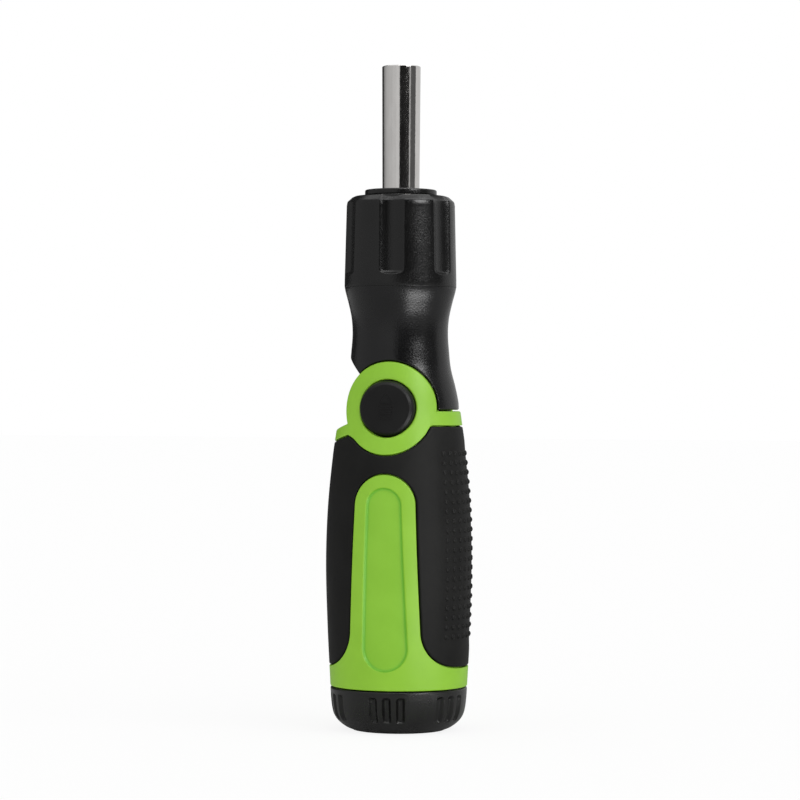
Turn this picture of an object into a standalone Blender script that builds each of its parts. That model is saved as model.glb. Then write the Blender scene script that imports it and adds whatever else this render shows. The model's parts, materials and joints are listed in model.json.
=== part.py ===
"""Folding multi-bit ratchet screwdriver with bit storage in its handle.

The origin is the centre of the end cap's flat foot. +Z runs up the handle to the
bit holder, the lock button faces -Y, and the head folds towards -X.
"""
import math

import bmesh
import bpy
from mathutils import Matrix

MM = 0.001

# Fits
GAP = 0.3 * MM            # between neighbouring pieces
BITE = 1.0 * MM           # how far a cutter runs past the face it opens
ROUND = 32                # sides of the large pieces turned about Z
PIVOT_SIDES = 30          # sides of the pieces turned about the fold axis
FINE = 20                 # sides of the small turned pieces
COARSE = 12               # sides of holes, pins and screws
HOLDER_SIDES = 24
HEX_SIDES = 6
HANDLE_ROWS = 10          # rows of a curved form, from its top to its bottom
LAYER_ROWS = 7
NECK_ROWS = 9
CAP_ROWS = 7
RING_STEPS = 26           # steps of a long arc
ARCH_STEPS = 14
HALF_ROUND_STEPS = 8
CORNER_STEPS = 4

# Heights along the handle's axis
SEAM_Z = 11.9 * MM        # top face of the end cap
STORE_TOP_Z = 50.0 * MM   # top of the bit store
PIVOT_Z = 86.6 * MM       # axis of the folding joint
COLLAR_Z = 119.3 * MM     # seam between neck and collar
BARREL_TOP_Z = 141.5 * MM
COLLAR_TOP_Z = 143.8 * MM
NOSE_TOP_Z = 145.6 * MM
TIP_Z = 179.0 * MM
REACH = TIP_Z / 3         # half size of a cutter that runs right through

# Handle
HANDLE_FORM = (           # height, radius
    (SEAM_Z, 18.5 * MM),
    (28.0 * MM, 19.35 * MM),
    (45.0 * MM, 19.85 * MM),
    (60.0 * MM, 19.4 * MM),
    (PIVOT_Z - 12.6 * MM, 18.1 * MM),
    (PIVOT_Z - 4.6 * MM, 16.95 * MM),
    (PIVOT_Z, 16.3 * MM),
    (PIVOT_Z + 5.4 * MM, 15.6 * MM),
    (PIVOT_Z + 9.4 * MM, 14.8 * MM),
    (PIVOT_Z + 12.8 * MM, 13.9 * MM),
)
GRIP_THICKNESS = 1.1 * MM
STORE_RADIUS = 13.4 * MM
BAND_TOP_Z = 17.3 * MM    # top of the lower green band
RELIEF_HALF_WIDTH = 7.0 * MM
RELIEF_HALF_DEPTH = 11.0 * MM
RELIEF_WALL = 2.2 * MM

# Green panel on the front and back
PANEL_TOP_Z = 69.1 * MM
PANEL_TOP_RADIUS = 8.3 * MM
PANEL_FLARE_Z = 27.7 * MM
PANEL_FLARE_HALF_WIDTH = 9.6 * MM
PANEL_FLARE_OUT = 9.3 * MM
PANEL_FLARE_STEPS = 5
GRIP_LEFT_START_DEG = 16.0  # below the left shoulder, round the ring
RECESS_DEPTH = 0.8 * MM
RECESS_TOP_Z = 65.7 * MM
RECESS_BOTTOM_Z = 17.1 * MM
RECESS_TOP_RADIUS = 4.9 * MM
RECESS_BOTTOM_RADIUS = 5.9 * MM

# Folding joint
FOLD_LIMIT_DEG = 64.0
NECK_CUT_DEG = 44.0       # left face of the neck, from straight up
FACE_MARGIN_DEG = 1.0     # left between the two faces at the fold's end
RING_RADIUS = 12.5 * MM
UNDER_RING_RADIUS = 12.25 * MM  # where the grip meets the ring from below
WEB_DEPTH = 3.9 * MM      # green web between shoulder and grip
SHOULDER_GAP = 0.35 * MM
CHEEK_Y = 8.0 * MM        # inner face of each cheek
TRUNNION_INNER = 10.0 * MM
TRUNNION_OUTER = 11.2 * MM
TRUNNION_HEIGHT = 2.3 * MM
KNUCKLE_RELIEF = 0.1 * MM  # from the neck's inner faces to the knuckle's

# Lock button and lock wheel
BUTTON_TRAVEL = 2.5 * MM
BUTTON_RADIUS = 7.45 * MM
BUTTON_FACE_Y = 17.0 * MM
BUTTON_EDGE_ROUND = 0.6 * MM
FLANGE_RADIUS = 8.4 * MM
FLANGE_THICKNESS = 1.2 * MM
STEM_RADIUS = 3.0 * MM
STEM_BORE_RADIUS = 1.0 * MM
STEM_BORE_DEPTH = 9.0 * MM
SPRING_RADIUS = 4.9 * MM
SPRING_WIRE_RADIUS = 0.35 * MM
SPRING_TURNS = 5
SPRING_TURN_STEPS = 8
SPRING_SEAT_Y = -2.0 * MM
WHEEL_TEETH = 12
WHEEL_TIP_RADIUS = 8.3 * MM
WHEEL_ROOT_RADIUS = 7.1 * MM
WHEEL_THICKNESS = 2.6 * MM
SOCKET_DEPTH = 2.5 * MM
COVER_THICKNESS = 1.8 * MM
COVER_WALL = 0.8 * MM
COVER_SKIRT = 2.4 * MM

# Neck and ratchet barrel
BARREL_RADIUS = 11.8 * MM
COLLAR_WALL = 3.3 * MM    # from the barrel's face out to the collar's
COLLAR_RADIUS = BARREL_RADIUS + COLLAR_WALL
NECK_RIM_INSET = 0.05 * MM
NECK_FORM = (             # height, radius
    (PIVOT_Z - GAP, 15.97 * MM),
    (PIVOT_Z + 1.8 * MM, 15.85 * MM),
    (PIVOT_Z + 5.9 * MM, 15.0 * MM),
    (PIVOT_Z + 10.9 * MM, 13.75 * MM),
    (PIVOT_Z + 15.4 * MM, 13.25 * MM),
    (COLLAR_Z - 12.5 * MM, 12.93 * MM),
    (COLLAR_Z - 8.3 * MM, 13.2 * MM),
    (COLLAR_Z - 4.3 * MM, 14.05 * MM),
    (COLLAR_Z - GAP, COLLAR_RADIUS - NECK_RIM_INSET),
)
GEAR_CHAMBER_Z = 122.2 * MM
LOWER_BORE_RADIUS = 5.3 * MM
LOWER_BORE_Z = 112.8 * MM

# Selector collar
COLLAR_TAPER = 0.5 * MM
COLLAR_TOP_RADIUS = COLLAR_RADIUS - COLLAR_TAPER
COLLAR_LIP_WIDTH = 3.5 * MM  # from the barrel's face in to the lip's edge
COLLAR_LIP_RADIUS = BARREL_RADIUS - COLLAR_LIP_WIDTH
COLLAR_EDGE = 0.2 * MM
COLLAR_BELT_HEIGHT = 1.6 * MM
COLLAR_ROUND = 2.4 * MM
FLUTES = 6
FLUTE_HALF_WIDTH = 3.3 * MM
FLUTE_DEPTH = 1.2 * MM
FLUTE_BOTTOM_Z = 122.8 * MM
FLUTE_CORNER = 2.2 * MM
SELECTOR_STEP_DEG = 20.0
DIMPLE_RADIUS = 0.8 * MM
DIMPLE_DEPTH = 0.5 * MM

# Shaft
HOLDER_TIP_RADIUS = 5.2 * MM
HOLDER_RADIUS = 5.0 * MM
HOLDER_CHAMFER = 0.35 * MM
JOURNAL_RADIUS = 3.0 * MM
SHAFT_END_Z = 114.4 * MM
HEX_WIDTH = 6.5 * MM      # across the flats of the socket
HEX_DEPTH = 16.0 * MM
MAGNET_RADIUS = 2.7 * MM
MAGNET_LENGTH = 5.0 * MM
CLIP_BELOW_TIP = 6.0 * MM
CLIP_THICKNESS = 0.7 * MM
CLIP_INNER_RADIUS = 3.45 * MM
CLIP_WIDTH = 0.5 * MM
CLIP_OPENING_DEG = 60.0
CLIP_STEPS = 16
GEAR_TEETH = 24
GEAR_TIP_INSET = 1.1 * MM  # inwards of midway between the shaft and the barrel's face
GEAR_TOOTH = 0.8 * MM
GEAR_ROOM = 0.6 * MM
GEAR_TIP_RADIUS = (HOLDER_RADIUS + BARREL_RADIUS) / 2 - GEAR_TIP_INSET
GEAR_ROOT_RADIUS = GEAR_TIP_RADIUS - GEAR_TOOTH
GEAR_CHAMBER_RADIUS = GEAR_TIP_RADIUS + GEAR_ROOM
GEAR_Z = 124.6 * MM
GEAR_HEIGHT = 8.6 * MM
CIRCLIP_Z = GEAR_Z + GEAR_HEIGHT + GAP
SHAFT_FLANGE_RADIUS = 6.0 * MM
SHAFT_FLANGE_THICKNESS = 1.7 * MM
CIRCLIP_THICKNESS = 0.8 * MM
CIRCLIP_RADIUS = 6.4 * MM
CIRCLIP_GROOVE_DEPTH = 0.6 * MM
CIRCLIP_OPENING_DEG = 70.0
BUSH_Z = 136.4 * MM
LOWER_BUSH_Z = 115.6 * MM

# Pawls
PAWL_WINDOW_Z = 124.3 * MM
PAWL_WINDOW_HEIGHT = 9.4 * MM
PAWL_WINDOW_HALF_WIDTH = 3.6 * MM
PAWL_PIN_DEPTH = 2.4 * MM  # from the barrel's face in to the pin's axis
PAWL_PIN_X = BARREL_RADIUS - PAWL_PIN_DEPTH
PAWL_PIN_Y = 2.1 * MM
PAWL_PIN_RADIUS = 0.6 * MM
PAWL_PIN_SEAT = 1.2 * MM
PAWL_TOE_GAP = 0.05 * MM
PAWL_TOE_X = GEAR_TIP_RADIUS + PAWL_TOE_GAP
PAWL_TOE_Y = -2.2 * MM
PAWL_BACK_DEPTH = 1.7 * MM
PAWL_BACK_X = BARREL_RADIUS - PAWL_BACK_DEPTH
PAWL_TOE_WIDTH = 0.9 * MM
PAWL_WAIST = 1.1 * MM      # from the pin's axis down to the straight flanks
PAWL_EYE_WALL = 0.35 * MM
PAWL_RING_DEPTH = 0.4 * MM  # from the barrel's face in to the wire's axis
PAWL_RING_RADIUS = BARREL_RADIUS - PAWL_RING_DEPTH
PAWL_RING_WIRE = 0.25 * MM
PAWL_RING_OPENING_DEG = 40.0

# Collar detent
DETENT_X_RADIUS = (GEAR_CHAMBER_RADIUS + BARREL_RADIUS) / 2
DETENT_BALL_RADIUS = 0.9 * MM
DETENT_HOLE_DEPTH = 6.0 * MM
DETENT_SPRING_INNER = 0.45 * MM
DETENT_SPRING_OUTER = 0.7 * MM
BALL_SEGMENTS = 10
BALL_RINGS = 6

# Nose ring
NOSE_OVERLAP = 1.4 * MM   # how far the nose ring covers the collar's lip
NOSE_RADIUS = COLLAR_LIP_RADIUS + NOSE_OVERLAP
NOSE_FLANGE = 1.5 * MM
NOSE_EDGE = 0.3 * MM

# Bit store
BITS = 6
BIT_LENGTH = 25.0 * MM
BIT_WIDTH = 6.35 * MM     # across the flats
BIT_TIP_RADIUS = 1.3 * MM
BIT_NECK_RADIUS = 2.4 * MM
BIT_TIP_LENGTH = 5.0 * MM
BIT_NECK_LENGTH = 8.0 * MM
BIT_SHOULDER_LENGTH = 10.0 * MM
BIT_CHAMFER = 0.4 * MM
BIT_CIRCLE_RADIUS = 9.2 * MM
TRAY_RADIUS = 12.6 * MM
TRAY_FLOOR = 1.3 * MM
TRAY_HEIGHT = 24.0 * MM
TRAY_HUB_RADIUS = 5.0 * MM
TRAY_HUB_BOTTOM_Z = 5.2 * MM
CHANNEL_RADIUS = 3.98 * MM

# End cap
CAP_FORM = (              # height, radius
    (0.0, 12.0 * MM),
    (0.8 * MM, 14.1 * MM),
    (2.4 * MM, 16.25 * MM),
    (4.0 * MM, 17.4 * MM),
    (5.8 * MM, 17.95 * MM),
    (8.5 * MM, 18.3 * MM),
    (SEAM_Z - GAP, 18.5 * MM),
)
CAP_FLOOR = 3.0 * MM
CAP_HOLLOW_RADIUS = 10.4 * MM
SPIGOT_TOP_Z = 20.4 * MM
TRAY_Z = SPIGOT_TOP_Z + GAP
POST_RADIUS = 2.4 * MM
POST_TOP_Z = 17.0 * MM
TRAY_CLIP_Z = 14.2 * MM
TRAY_CLIP_THICKNESS = 0.8 * MM
TRAY_CLIP_RADIUS = 3.9 * MM
SEAL_Z = 15.6 * MM
SEAL_WIRE_RADIUS = 0.5 * MM
SEAL_WIRE_SIDES = 6
SEAL_GAP = 0.2 * MM
GROOVE_GROUPS = 6
GROOVES_PER_GROUP = 3
GROOVE_PITCH_DEG = 12.0
GROOVE_RADIUS = 1.0 * MM
GROOVE_TOP_Z = 10.0 * MM
GROOVE_TOP_RADIUS = 18.45 * MM
GROOVE_LEAN_DEG = 7.5
GROOVE_SIDES = 6

# Shell screws: height, distance from the middle, head seat and end of the shank
SCREW_RADIUS = 1.2 * MM
SCREW_HEAD_RADIUS = 1.9 * MM
SCREW_HEAD_HEIGHT = 1.4 * MM
SCREW_HEAD_TOP_RADIUS = 1.3 * MM
SCREW_SLOT_DEPTH = 0.6 * MM
SCREW_SLOT_HALF_WIDTH = 0.3 * MM
UPPER_SCREW_BELOW_PIVOT = 19.4 * MM
UPPER_SCREW_Z = PIVOT_Z - UPPER_SCREW_BELOW_PIVOT
UPPER_SCREW_X = 11.0 * MM
UPPER_SCREW_SEAT_Y = 10.0 * MM
UPPER_SCREW_END_Y = -7.5 * MM
LOWER_SCREW_Z = 14.8 * MM
LOWER_SCREW_X = 15.6 * MM
LOWER_SCREW_SEAT_Y = 3.4 * MM
LOWER_SCREW_END_Y = -4.5 * MM

# Name, base colour, metallic, roughness
MATERIALS = {
    "green_plastic": ((0.27, 0.57, 0.05, 1.0), 0.0, 0.42),
    "black_rubber": ((0.018, 0.018, 0.018, 1.0), 0.0, 0.72),
    "black_plastic": ((0.016, 0.016, 0.017, 1.0), 0.0, 0.38),
    "chrome": ((0.78, 0.78, 0.78, 1.0), 1.0, 0.08),
    "steel": ((0.52, 0.52, 0.53, 1.0), 1.0, 0.35),
    "bronze": ((0.55, 0.36, 0.16, 1.0), 1.0, 0.45),
}


def make_material(name):
    """Principled material of one finish."""
    colour, metallic, roughness = MATERIALS[name]
    material = bpy.data.materials.get(name) or bpy.data.materials.new(name)
    material.use_nodes = True
    shader = material.node_tree.nodes["Principled BSDF"]
    shader.inputs["Base Color"].default_value = colour
    shader.inputs["Metallic"].default_value = metallic
    shader.inputs["Roughness"].default_value = roughness
    return material


def collection_named(name):
    """The collection of that name, made and linked if need be."""
    collection = bpy.data.collections.get(name)
    if collection is None:
        collection = bpy.data.collections.new(name)
        bpy.context.scene.collection.children.link(collection)
    return collection


def add_object(name, data, finish):
    """Link a new object: a part with a finish, or a cutter without one."""
    obj = bpy.data.objects.new(name, data)
    if finish is None:
        collection_named("cutters").objects.link(obj)
        obj.hide_render = True
        obj.display_type = "WIRE"
    else:
        collection_named("multi_bit_screwdriver").objects.link(obj)
        obj.data.materials.append(make_material(finish))
    return obj


def boolean(obj, tool, operation="DIFFERENCE"):
    """Cut, join or intersect an object with a cutter."""
    step = obj.modifiers.new(operation.lower(), "BOOLEAN")
    step.operation = operation
    step.object = tool
    return obj


def form_radius(form, height):
    """Radius at a height, on the smooth curve through a form's points."""
    heights = [point[0] for point in form]
    radii = [point[1] for point in form]
    last = len(form) - 1
    slopes = []
    for index in range(last + 1):
        before = max(index - 1, 0)
        after = min(index + 1, last)
        slopes.append((radii[after] - radii[before]) / (heights[after] - heights[before]))
    index = 0
    while index < last - 1 and height > heights[index + 1]:
        index += 1
    span = heights[index + 1] - heights[index]
    t = (height - heights[index]) / span
    return (
        (2 * t ** 3 - 3 * t ** 2 + 1) * radii[index]
        + (t ** 3 - 2 * t ** 2 + t) * span * slopes[index]
        + (3 * t ** 2 - 2 * t ** 3) * radii[index + 1]
        + (t ** 3 - t ** 2) * span * slopes[index + 1]
    )


def form_profile(form, bottom, top, rows, offset=0.0):
    """Points (radius, height) down a form's outer side, from top to bottom."""
    points = []
    for row in range(rows + 1):
        height = top + (bottom - top) * row / rows
        points.append((form_radius(form, height) + offset, height))
    return points


def turned(name, profile, finish=None, sides=FINE, along_y=False, closed=False, at=(0.0, 0.0)):
    """Turn a profile of (radius, height), outer side top to bottom.

    The axis is Z through the point at, or the fold axis, where height is towards
    the front.
    """
    mesh = bpy.data.meshes.new(name)
    vertices = [(radius, 0.0, height) for radius, height in profile]
    edges = [(i, i + 1) for i in range(len(profile) - 1)]
    if closed:
        edges.append((len(profile) - 1, 0))
    mesh.from_pydata(vertices, edges, [])
    obj = add_object(name, mesh, finish)
    screw = obj.modifiers.new("turn", "SCREW")
    screw.steps = sides
    screw.render_steps = sides
    screw.use_merge_vertices = True
    screw.merge_threshold = 0.000001
    screw.use_smooth_shade = True
    if along_y:
        obj.location = (0.0, 0.0, PIVOT_Z)
        obj.rotation_euler = (math.pi / 2, 0.0, 0.0)
    else:
        obj.location = (at[0], at[1], 0.0)
    return obj


def solid_profile(radius, bottom, top):
    """Profile of a plain cylinder."""
    return [(0.0, top), (radius, top), (radius, bottom), (0.0, bottom)]


def ring_profile(inner, outer, bottom, top):
    """Closed profile of a plain ring."""
    return [(outer, top), (outer, bottom), (inner, bottom), (inner, top)]


def mesh_from_curve(name, curve, finish):
    """Turn a curve into a welded mesh object."""
    source = bpy.data.objects.new(name + "_curve", curve)
    bpy.context.scene.collection.objects.link(source)
    bpy.context.view_layer.update()
    depsgraph = bpy.context.evaluated_depsgraph_get()
    mesh = bpy.data.meshes.new_from_object(source.evaluated_get(depsgraph))
    bpy.data.objects.remove(source)
    mesh.name = name
    work = bmesh.new()
    work.from_mesh(mesh)
    bmesh.ops.remove_doubles(work, verts=work.verts, dist=0.000001)
    bmesh.ops.recalc_face_normals(work, faces=work.faces)
    work.to_mesh(mesh)
    work.free()
    mesh.materials.clear()
    return add_object(name, mesh, finish)


def plate(name, outline, low, high, finish=None, along_y=False):
    """Flat outline extruded between two levels of Z.

    Along Y the outline is (x, z) and the levels are depths towards the front.
    """
    curve = bpy.data.curves.new(name, "CURVE")
    curve.dimensions = "2D"
    curve.fill_mode = "BOTH"
    curve.extrude = (high - low) / 2
    curve.render_resolution_u = 0
    spline = curve.splines.new("POLY")
    spline.points.add(len(outline) - 1)
    for point, (x, y) in zip(spline.points, outline):
        point.co = (x, y, 0.0, 1.0)
    spline.use_cyclic_u = True
    obj = mesh_from_curve(name, curve, finish)
    middle = (low + high) / 2
    if along_y:
        obj.location = (0.0, -middle, 0.0)
        obj.rotation_euler = (math.pi / 2, 0.0, 0.0)
    else:
        obj.location = (0.0, 0.0, middle)
    return obj


def wire(name, points, radius, finish, along_y=False):
    """Round wire through points, with filled ends."""
    curve = bpy.data.curves.new(name, "CURVE")
    curve.dimensions = "3D"
    curve.bevel_depth = radius
    curve.bevel_resolution = 1
    curve.use_fill_caps = True
    curve.render_resolution_u = 0
    spline = curve.splines.new("POLY")
    spline.points.add(len(points) - 1)
    for point, place in zip(spline.points, points):
        point.co = (*place, 1.0)
    obj = mesh_from_curve(name, curve, finish)
    if along_y:
        obj.location = (0.0, 0.0, PIVOT_Z)
        obj.rotation_euler = (math.pi / 2, 0.0, 0.0)
    return obj


def box(name, low, high):
    """Box cutter between two corners."""
    mesh = bpy.data.meshes.new(name)
    work = bmesh.new()
    bmesh.ops.create_cube(work, size=1.0)
    size = [b - a for a, b in zip(low, high)]
    middle = [(a + b) / 2 for a, b in zip(low, high)]
    bmesh.ops.scale(work, vec=size, verts=work.verts)
    bmesh.ops.translate(work, vec=middle, verts=work.verts)
    work.to_mesh(mesh)
    work.free()
    return add_object(name, mesh, None)


def arc(centre, radius, start_deg, end_deg, count):
    """Points on an arc, angles counter-clockwise from +X."""
    points = []
    for index in range(count + 1):
        angle = math.radians(start_deg + (end_deg - start_deg) * index / count)
        points.append((centre[0] + radius * math.cos(angle), centre[1] + radius * math.sin(angle)))
    return points


def gear_outline(teeth, root, tip, phase_deg=0.0):
    """Outline of a gear with straight-sided teeth."""
    points = []
    pitch = 2 * math.pi / teeth
    for tooth in range(teeth):
        middle = math.radians(phase_deg) + tooth * pitch
        for radius, share in ((root, -0.30), (tip, -0.16), (tip, 0.16), (root, 0.30)):
            angle = middle + share * pitch
            points.append((radius * math.cos(angle), radius * math.sin(angle)))
    return points


def pivot_point(angle_deg, radius):
    """Point (x, z) round the fold axis, angle from straight up towards -X."""
    angle = math.radians(angle_deg)
    return (-radius * math.sin(angle), PIVOT_Z + radius * math.cos(angle))


SHOULDER_DEG = NECK_CUT_DEG + FOLD_LIMIT_DEG + FACE_MARGIN_DEG
RIGHT_SHOULDER_Z = PIVOT_Z - GAP - SHOULDER_GAP
HANDLE_TOP_Z = PIVOT_Z + RING_RADIUS
SIDES = ("front", "back")
COVER_BORE_RADIUS = WHEEL_TIP_RADIUS + GAP
COVER_RADIUS = COVER_BORE_RADIUS + COVER_WALL


def handle_outline():
    """Front view of the handle: body, shoulders and ring."""
    ring_start = math.degrees(math.asin((RIGHT_SHOULDER_Z - PIVOT_Z) / RING_RADIUS))
    ring = arc((0.0, PIVOT_Z), RING_RADIUS, ring_start, 90.0 + SHOULDER_DEG, RING_STEPS)
    left = pivot_point(SHOULDER_DEG, REACH)
    return (
        [(-REACH, SEAM_Z - BITE), (REACH, SEAM_Z - BITE), (REACH, RIGHT_SHOULDER_Z)]
        + ring
        + [left, (-REACH, left[1] - BITE)]
    )


def grip_outline(gap):
    """Front view of the black grip: an arch round the green panel."""
    ring_radius = UNDER_RING_RADIUS + gap
    right_z = RIGHT_SHOULDER_Z - WEB_DEPTH - gap
    right_angle = math.degrees(math.asin((right_z - PIVOT_Z) / ring_radius))
    left_angle = 90.0 + SHOULDER_DEG + GRIP_LEFT_START_DEG
    left_start = (
        ring_radius * math.cos(math.radians(left_angle)),
        PIVOT_Z + ring_radius * math.sin(math.radians(left_angle)),
    )
    slope = math.tan(math.radians(SHOULDER_DEG - 90.0))
    left_end = (-REACH, left_start[1] - slope * (REACH + left_start[0]))
    under_ring = arc((0.0, PIVOT_Z), ring_radius, 360.0 + right_angle, left_angle, ARCH_STEPS)
    flare_depth = PANEL_FLARE_Z - BAND_TOP_Z
    outline = [(REACH, right_z)] + under_ring + [left_end]
    outline.append((-REACH, BAND_TOP_Z + gap))
    half_width = PANEL_FLARE_HALF_WIDTH + gap
    left_flare = []
    for index in range(PANEL_FLARE_STEPS + 1):
        angle = math.pi / 2 * index / PANEL_FLARE_STEPS
        x = half_width + PANEL_FLARE_OUT * (1 - math.cos(angle))
        z = PANEL_FLARE_Z - (flare_depth - gap) * math.sin(angle)
        left_flare.append((-x, z))
    outline.extend(reversed(left_flare))
    top_radius = PANEL_TOP_RADIUS + gap
    top_centre = (0.0, PANEL_TOP_Z - PANEL_TOP_RADIUS)
    outline.extend(arc(top_centre, top_radius, 180.0, 0.0, HALF_ROUND_STEPS))
    outline.extend((-x, z) for x, z in left_flare)
    outline.append((REACH, BAND_TOP_Z + gap))
    return outline


def recess_outline():
    """Front view of the recess in the green panel."""
    top = (0.0, RECESS_TOP_Z - RECESS_TOP_RADIUS)
    bottom = (0.0, RECESS_BOTTOM_Z + RECESS_BOTTOM_RADIUS)
    upper = arc(top, RECESS_TOP_RADIUS, 0.0, 180.0, HALF_ROUND_STEPS)
    return upper + arc(bottom, RECESS_BOTTOM_RADIUS, 180.0, 360.0, HALF_ROUND_STEPS)


def form_layer(name, bottom, top, outer, inner, finish=None):
    """Layer of the handle's form between two offsets from its surface."""
    down = form_profile(HANDLE_FORM, bottom, top, LAYER_ROWS, outer)
    up = list(reversed(form_profile(HANDLE_FORM, bottom, top, LAYER_ROWS, inner)))
    return turned(name, down + up, finish, ROUND, closed=True)


def half_space(name, side):
    """Box in front of, or behind, the parting plane."""
    if side == "front":
        return box(name, (-REACH, -REACH, -REACH), (REACH, -GAP / 2, 3 * REACH))
    return box(name, (-REACH, GAP / 2, -REACH), (REACH, REACH, 3 * REACH))


def screw_places():
    """x, z, head seat and shank end of the four shell screws."""
    places = []
    for x in (-UPPER_SCREW_X, UPPER_SCREW_X):
        places.append((x, UPPER_SCREW_Z, UPPER_SCREW_SEAT_Y, UPPER_SCREW_END_Y))
    for x in (-LOWER_SCREW_X, LOWER_SCREW_X):
        places.append((x, LOWER_SCREW_Z, LOWER_SCREW_SEAT_Y, LOWER_SCREW_END_Y))
    return places


def at_screw(obj, x, z):
    """Set a piece turned about Z on a screw's axis, its top towards the back."""
    obj.location = (x, 0.0, z)
    obj.rotation_euler = (-math.pi / 2, 0.0, 0.0)
    return obj


def screw_hole(name, x, z, seat, end):
    """Cutter for a screw's shank hole and its head's counterbore."""
    shank = SCREW_RADIUS + GAP
    head = SCREW_HEAD_RADIUS + GAP
    profile = [(0.0, REACH), (head, REACH), (head, seat), (shank, seat), (shank, end - GAP), (0.0, end - GAP)]
    return at_screw(turned(name, profile, sides=COARSE), x, z)


def front_pivot_cavity():
    """Knuckle pocket, trunnion groove, flange pocket and button hole in one turning."""
    flange_y = CHEEK_Y + FLANGE_THICKNESS + BUTTON_TRAVEL + 2 * GAP
    groove_y = CHEEK_Y + TRUNNION_HEIGHT
    profile = [
        (0.0, REACH), (BUTTON_RADIUS + GAP, REACH), (BUTTON_RADIUS + GAP, flange_y),
        (FLANGE_RADIUS + GAP, flange_y), (FLANGE_RADIUS + GAP, CHEEK_Y),
        (TRUNNION_INNER - GAP, CHEEK_Y), (TRUNNION_INNER - GAP, groove_y),
        (TRUNNION_OUTER + GAP, groove_y), (TRUNNION_OUTER + GAP, CHEEK_Y),
        (RING_RADIUS + GAP, CHEEK_Y), (RING_RADIUS + GAP, -BITE), (0.0, -BITE),
    ]
    return turned("front_pivot_cavity", profile, sides=PIVOT_SIDES, along_y=True)


def cover_inner_y():
    """Depth, towards the back, of the cover's inner face."""
    wheel_end = CHEEK_Y + WHEEL_THICKNESS + BUTTON_TRAVEL
    return wheel_end + SCREW_HEAD_HEIGHT + GAP


def back_pivot_cavity():
    """Knuckle pocket, trunnion groove and cover seat in one turning."""
    groove_y = CHEEK_Y + TRUNNION_HEIGHT
    seat_y = cover_inner_y() - COVER_SKIRT - GAP
    profile = [
        (0.0, BITE), (RING_RADIUS + GAP, BITE), (RING_RADIUS + GAP, -CHEEK_Y),
        (TRUNNION_OUTER + GAP, -CHEEK_Y), (TRUNNION_OUTER + GAP, -groove_y),
        (TRUNNION_INNER - GAP, -groove_y), (TRUNNION_INNER - GAP, -CHEEK_Y),
        (WHEEL_ROOT_RADIUS, -CHEEK_Y), (WHEEL_ROOT_RADIUS, -seat_y),
        (COVER_RADIUS + GAP, -seat_y), (COVER_RADIUS + GAP, -REACH), (0.0, -REACH),
    ]
    return turned("back_pivot_cavity", profile, sides=PIVOT_SIDES, along_y=True)


def wheel_pocket(name, front_y, back_y):
    """Toothed pocket that the lock wheel fits, between two depths."""
    outline = gear_outline(WHEEL_TEETH, WHEEL_ROOT_RADIUS + GAP, WHEEL_TIP_RADIUS + GAP)
    outline = [(x, z + PIVOT_Z) for x, z in outline]
    return plate(name, outline, -back_y, -front_y, along_y=True)


def handle_shell(side):
    """Green half shell with its cheek, grip bed, panel recess and bores."""
    blank_top = HANDLE_TOP_Z + GAP
    profile = [(0.0, blank_top)] + form_profile(HANDLE_FORM, SEAM_Z, blank_top, HANDLE_ROWS)
    profile += [(0.0, SEAM_Z)]
    shell = turned("handle_shell_" + side, profile, "green_plastic", ROUND)
    boolean(shell, half_space("half_" + side, side), "INTERSECT")
    outline = plate("outline_" + side, handle_outline(), -REACH, REACH, along_y=True)
    boolean(shell, outline, "INTERSECT")

    if side == "front":
        boolean(shell, front_pivot_cavity())
    else:
        boolean(shell, back_pivot_cavity())
        boolean(shell, wheel_pocket("wheel_pocket", CHEEK_Y - BITE, cover_inner_y()))
    boolean(shell, turned(
        "store_" + side, solid_profile(STORE_RADIUS, SEAM_Z - BITE, STORE_TOP_Z), sides=ROUND))
    relief_top = PIVOT_Z - RING_RADIUS - GAP - RELIEF_WALL
    boolean(shell, box(
        "relief_" + side, (-RELIEF_HALF_WIDTH, -RELIEF_HALF_DEPTH, STORE_TOP_Z + RELIEF_WALL),
        (RELIEF_HALF_WIDTH, RELIEF_HALF_DEPTH, relief_top)))

    bed = form_layer("bed_" + side, BAND_TOP_Z - BITE, PIVOT_Z, BITE, -GRIP_THICKNESS - GAP)
    boolean(bed, plate("bed_outline_" + side, grip_outline(0.0), -REACH, REACH, along_y=True), "INTERSECT")
    boolean(shell, bed)
    recess = form_layer("recess_" + side, BAND_TOP_Z - BITE, PANEL_TOP_Z, BITE, -RECESS_DEPTH)
    outline = plate("recess_outline_" + side, recess_outline(), -REACH, REACH, along_y=True)
    boolean(recess, outline, "INTERSECT")
    boolean(shell, recess)

    for index, place in enumerate(screw_places(), start=1):
        boolean(shell, screw_hole(f"screw_hole_{side}_{index}", *place))
    return shell


def grip(side):
    """Black overmould of one half shell."""
    piece = form_layer("grip_" + side, BAND_TOP_Z, PIVOT_Z - BITE, 0.0, -GRIP_THICKNESS, "black_rubber")
    boolean(piece, half_space("grip_half_" + side, side), "INTERSECT")
    outline = plate("grip_outline_" + side, grip_outline(GAP), -REACH, REACH, along_y=True)
    boolean(piece, outline, "INTERSECT")
    if side == "back":
        for index, place in enumerate(screw_places()[:2], start=1):
            boolean(piece, screw_hole(f"grip_hole_{index}", *place))
    return piece


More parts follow.
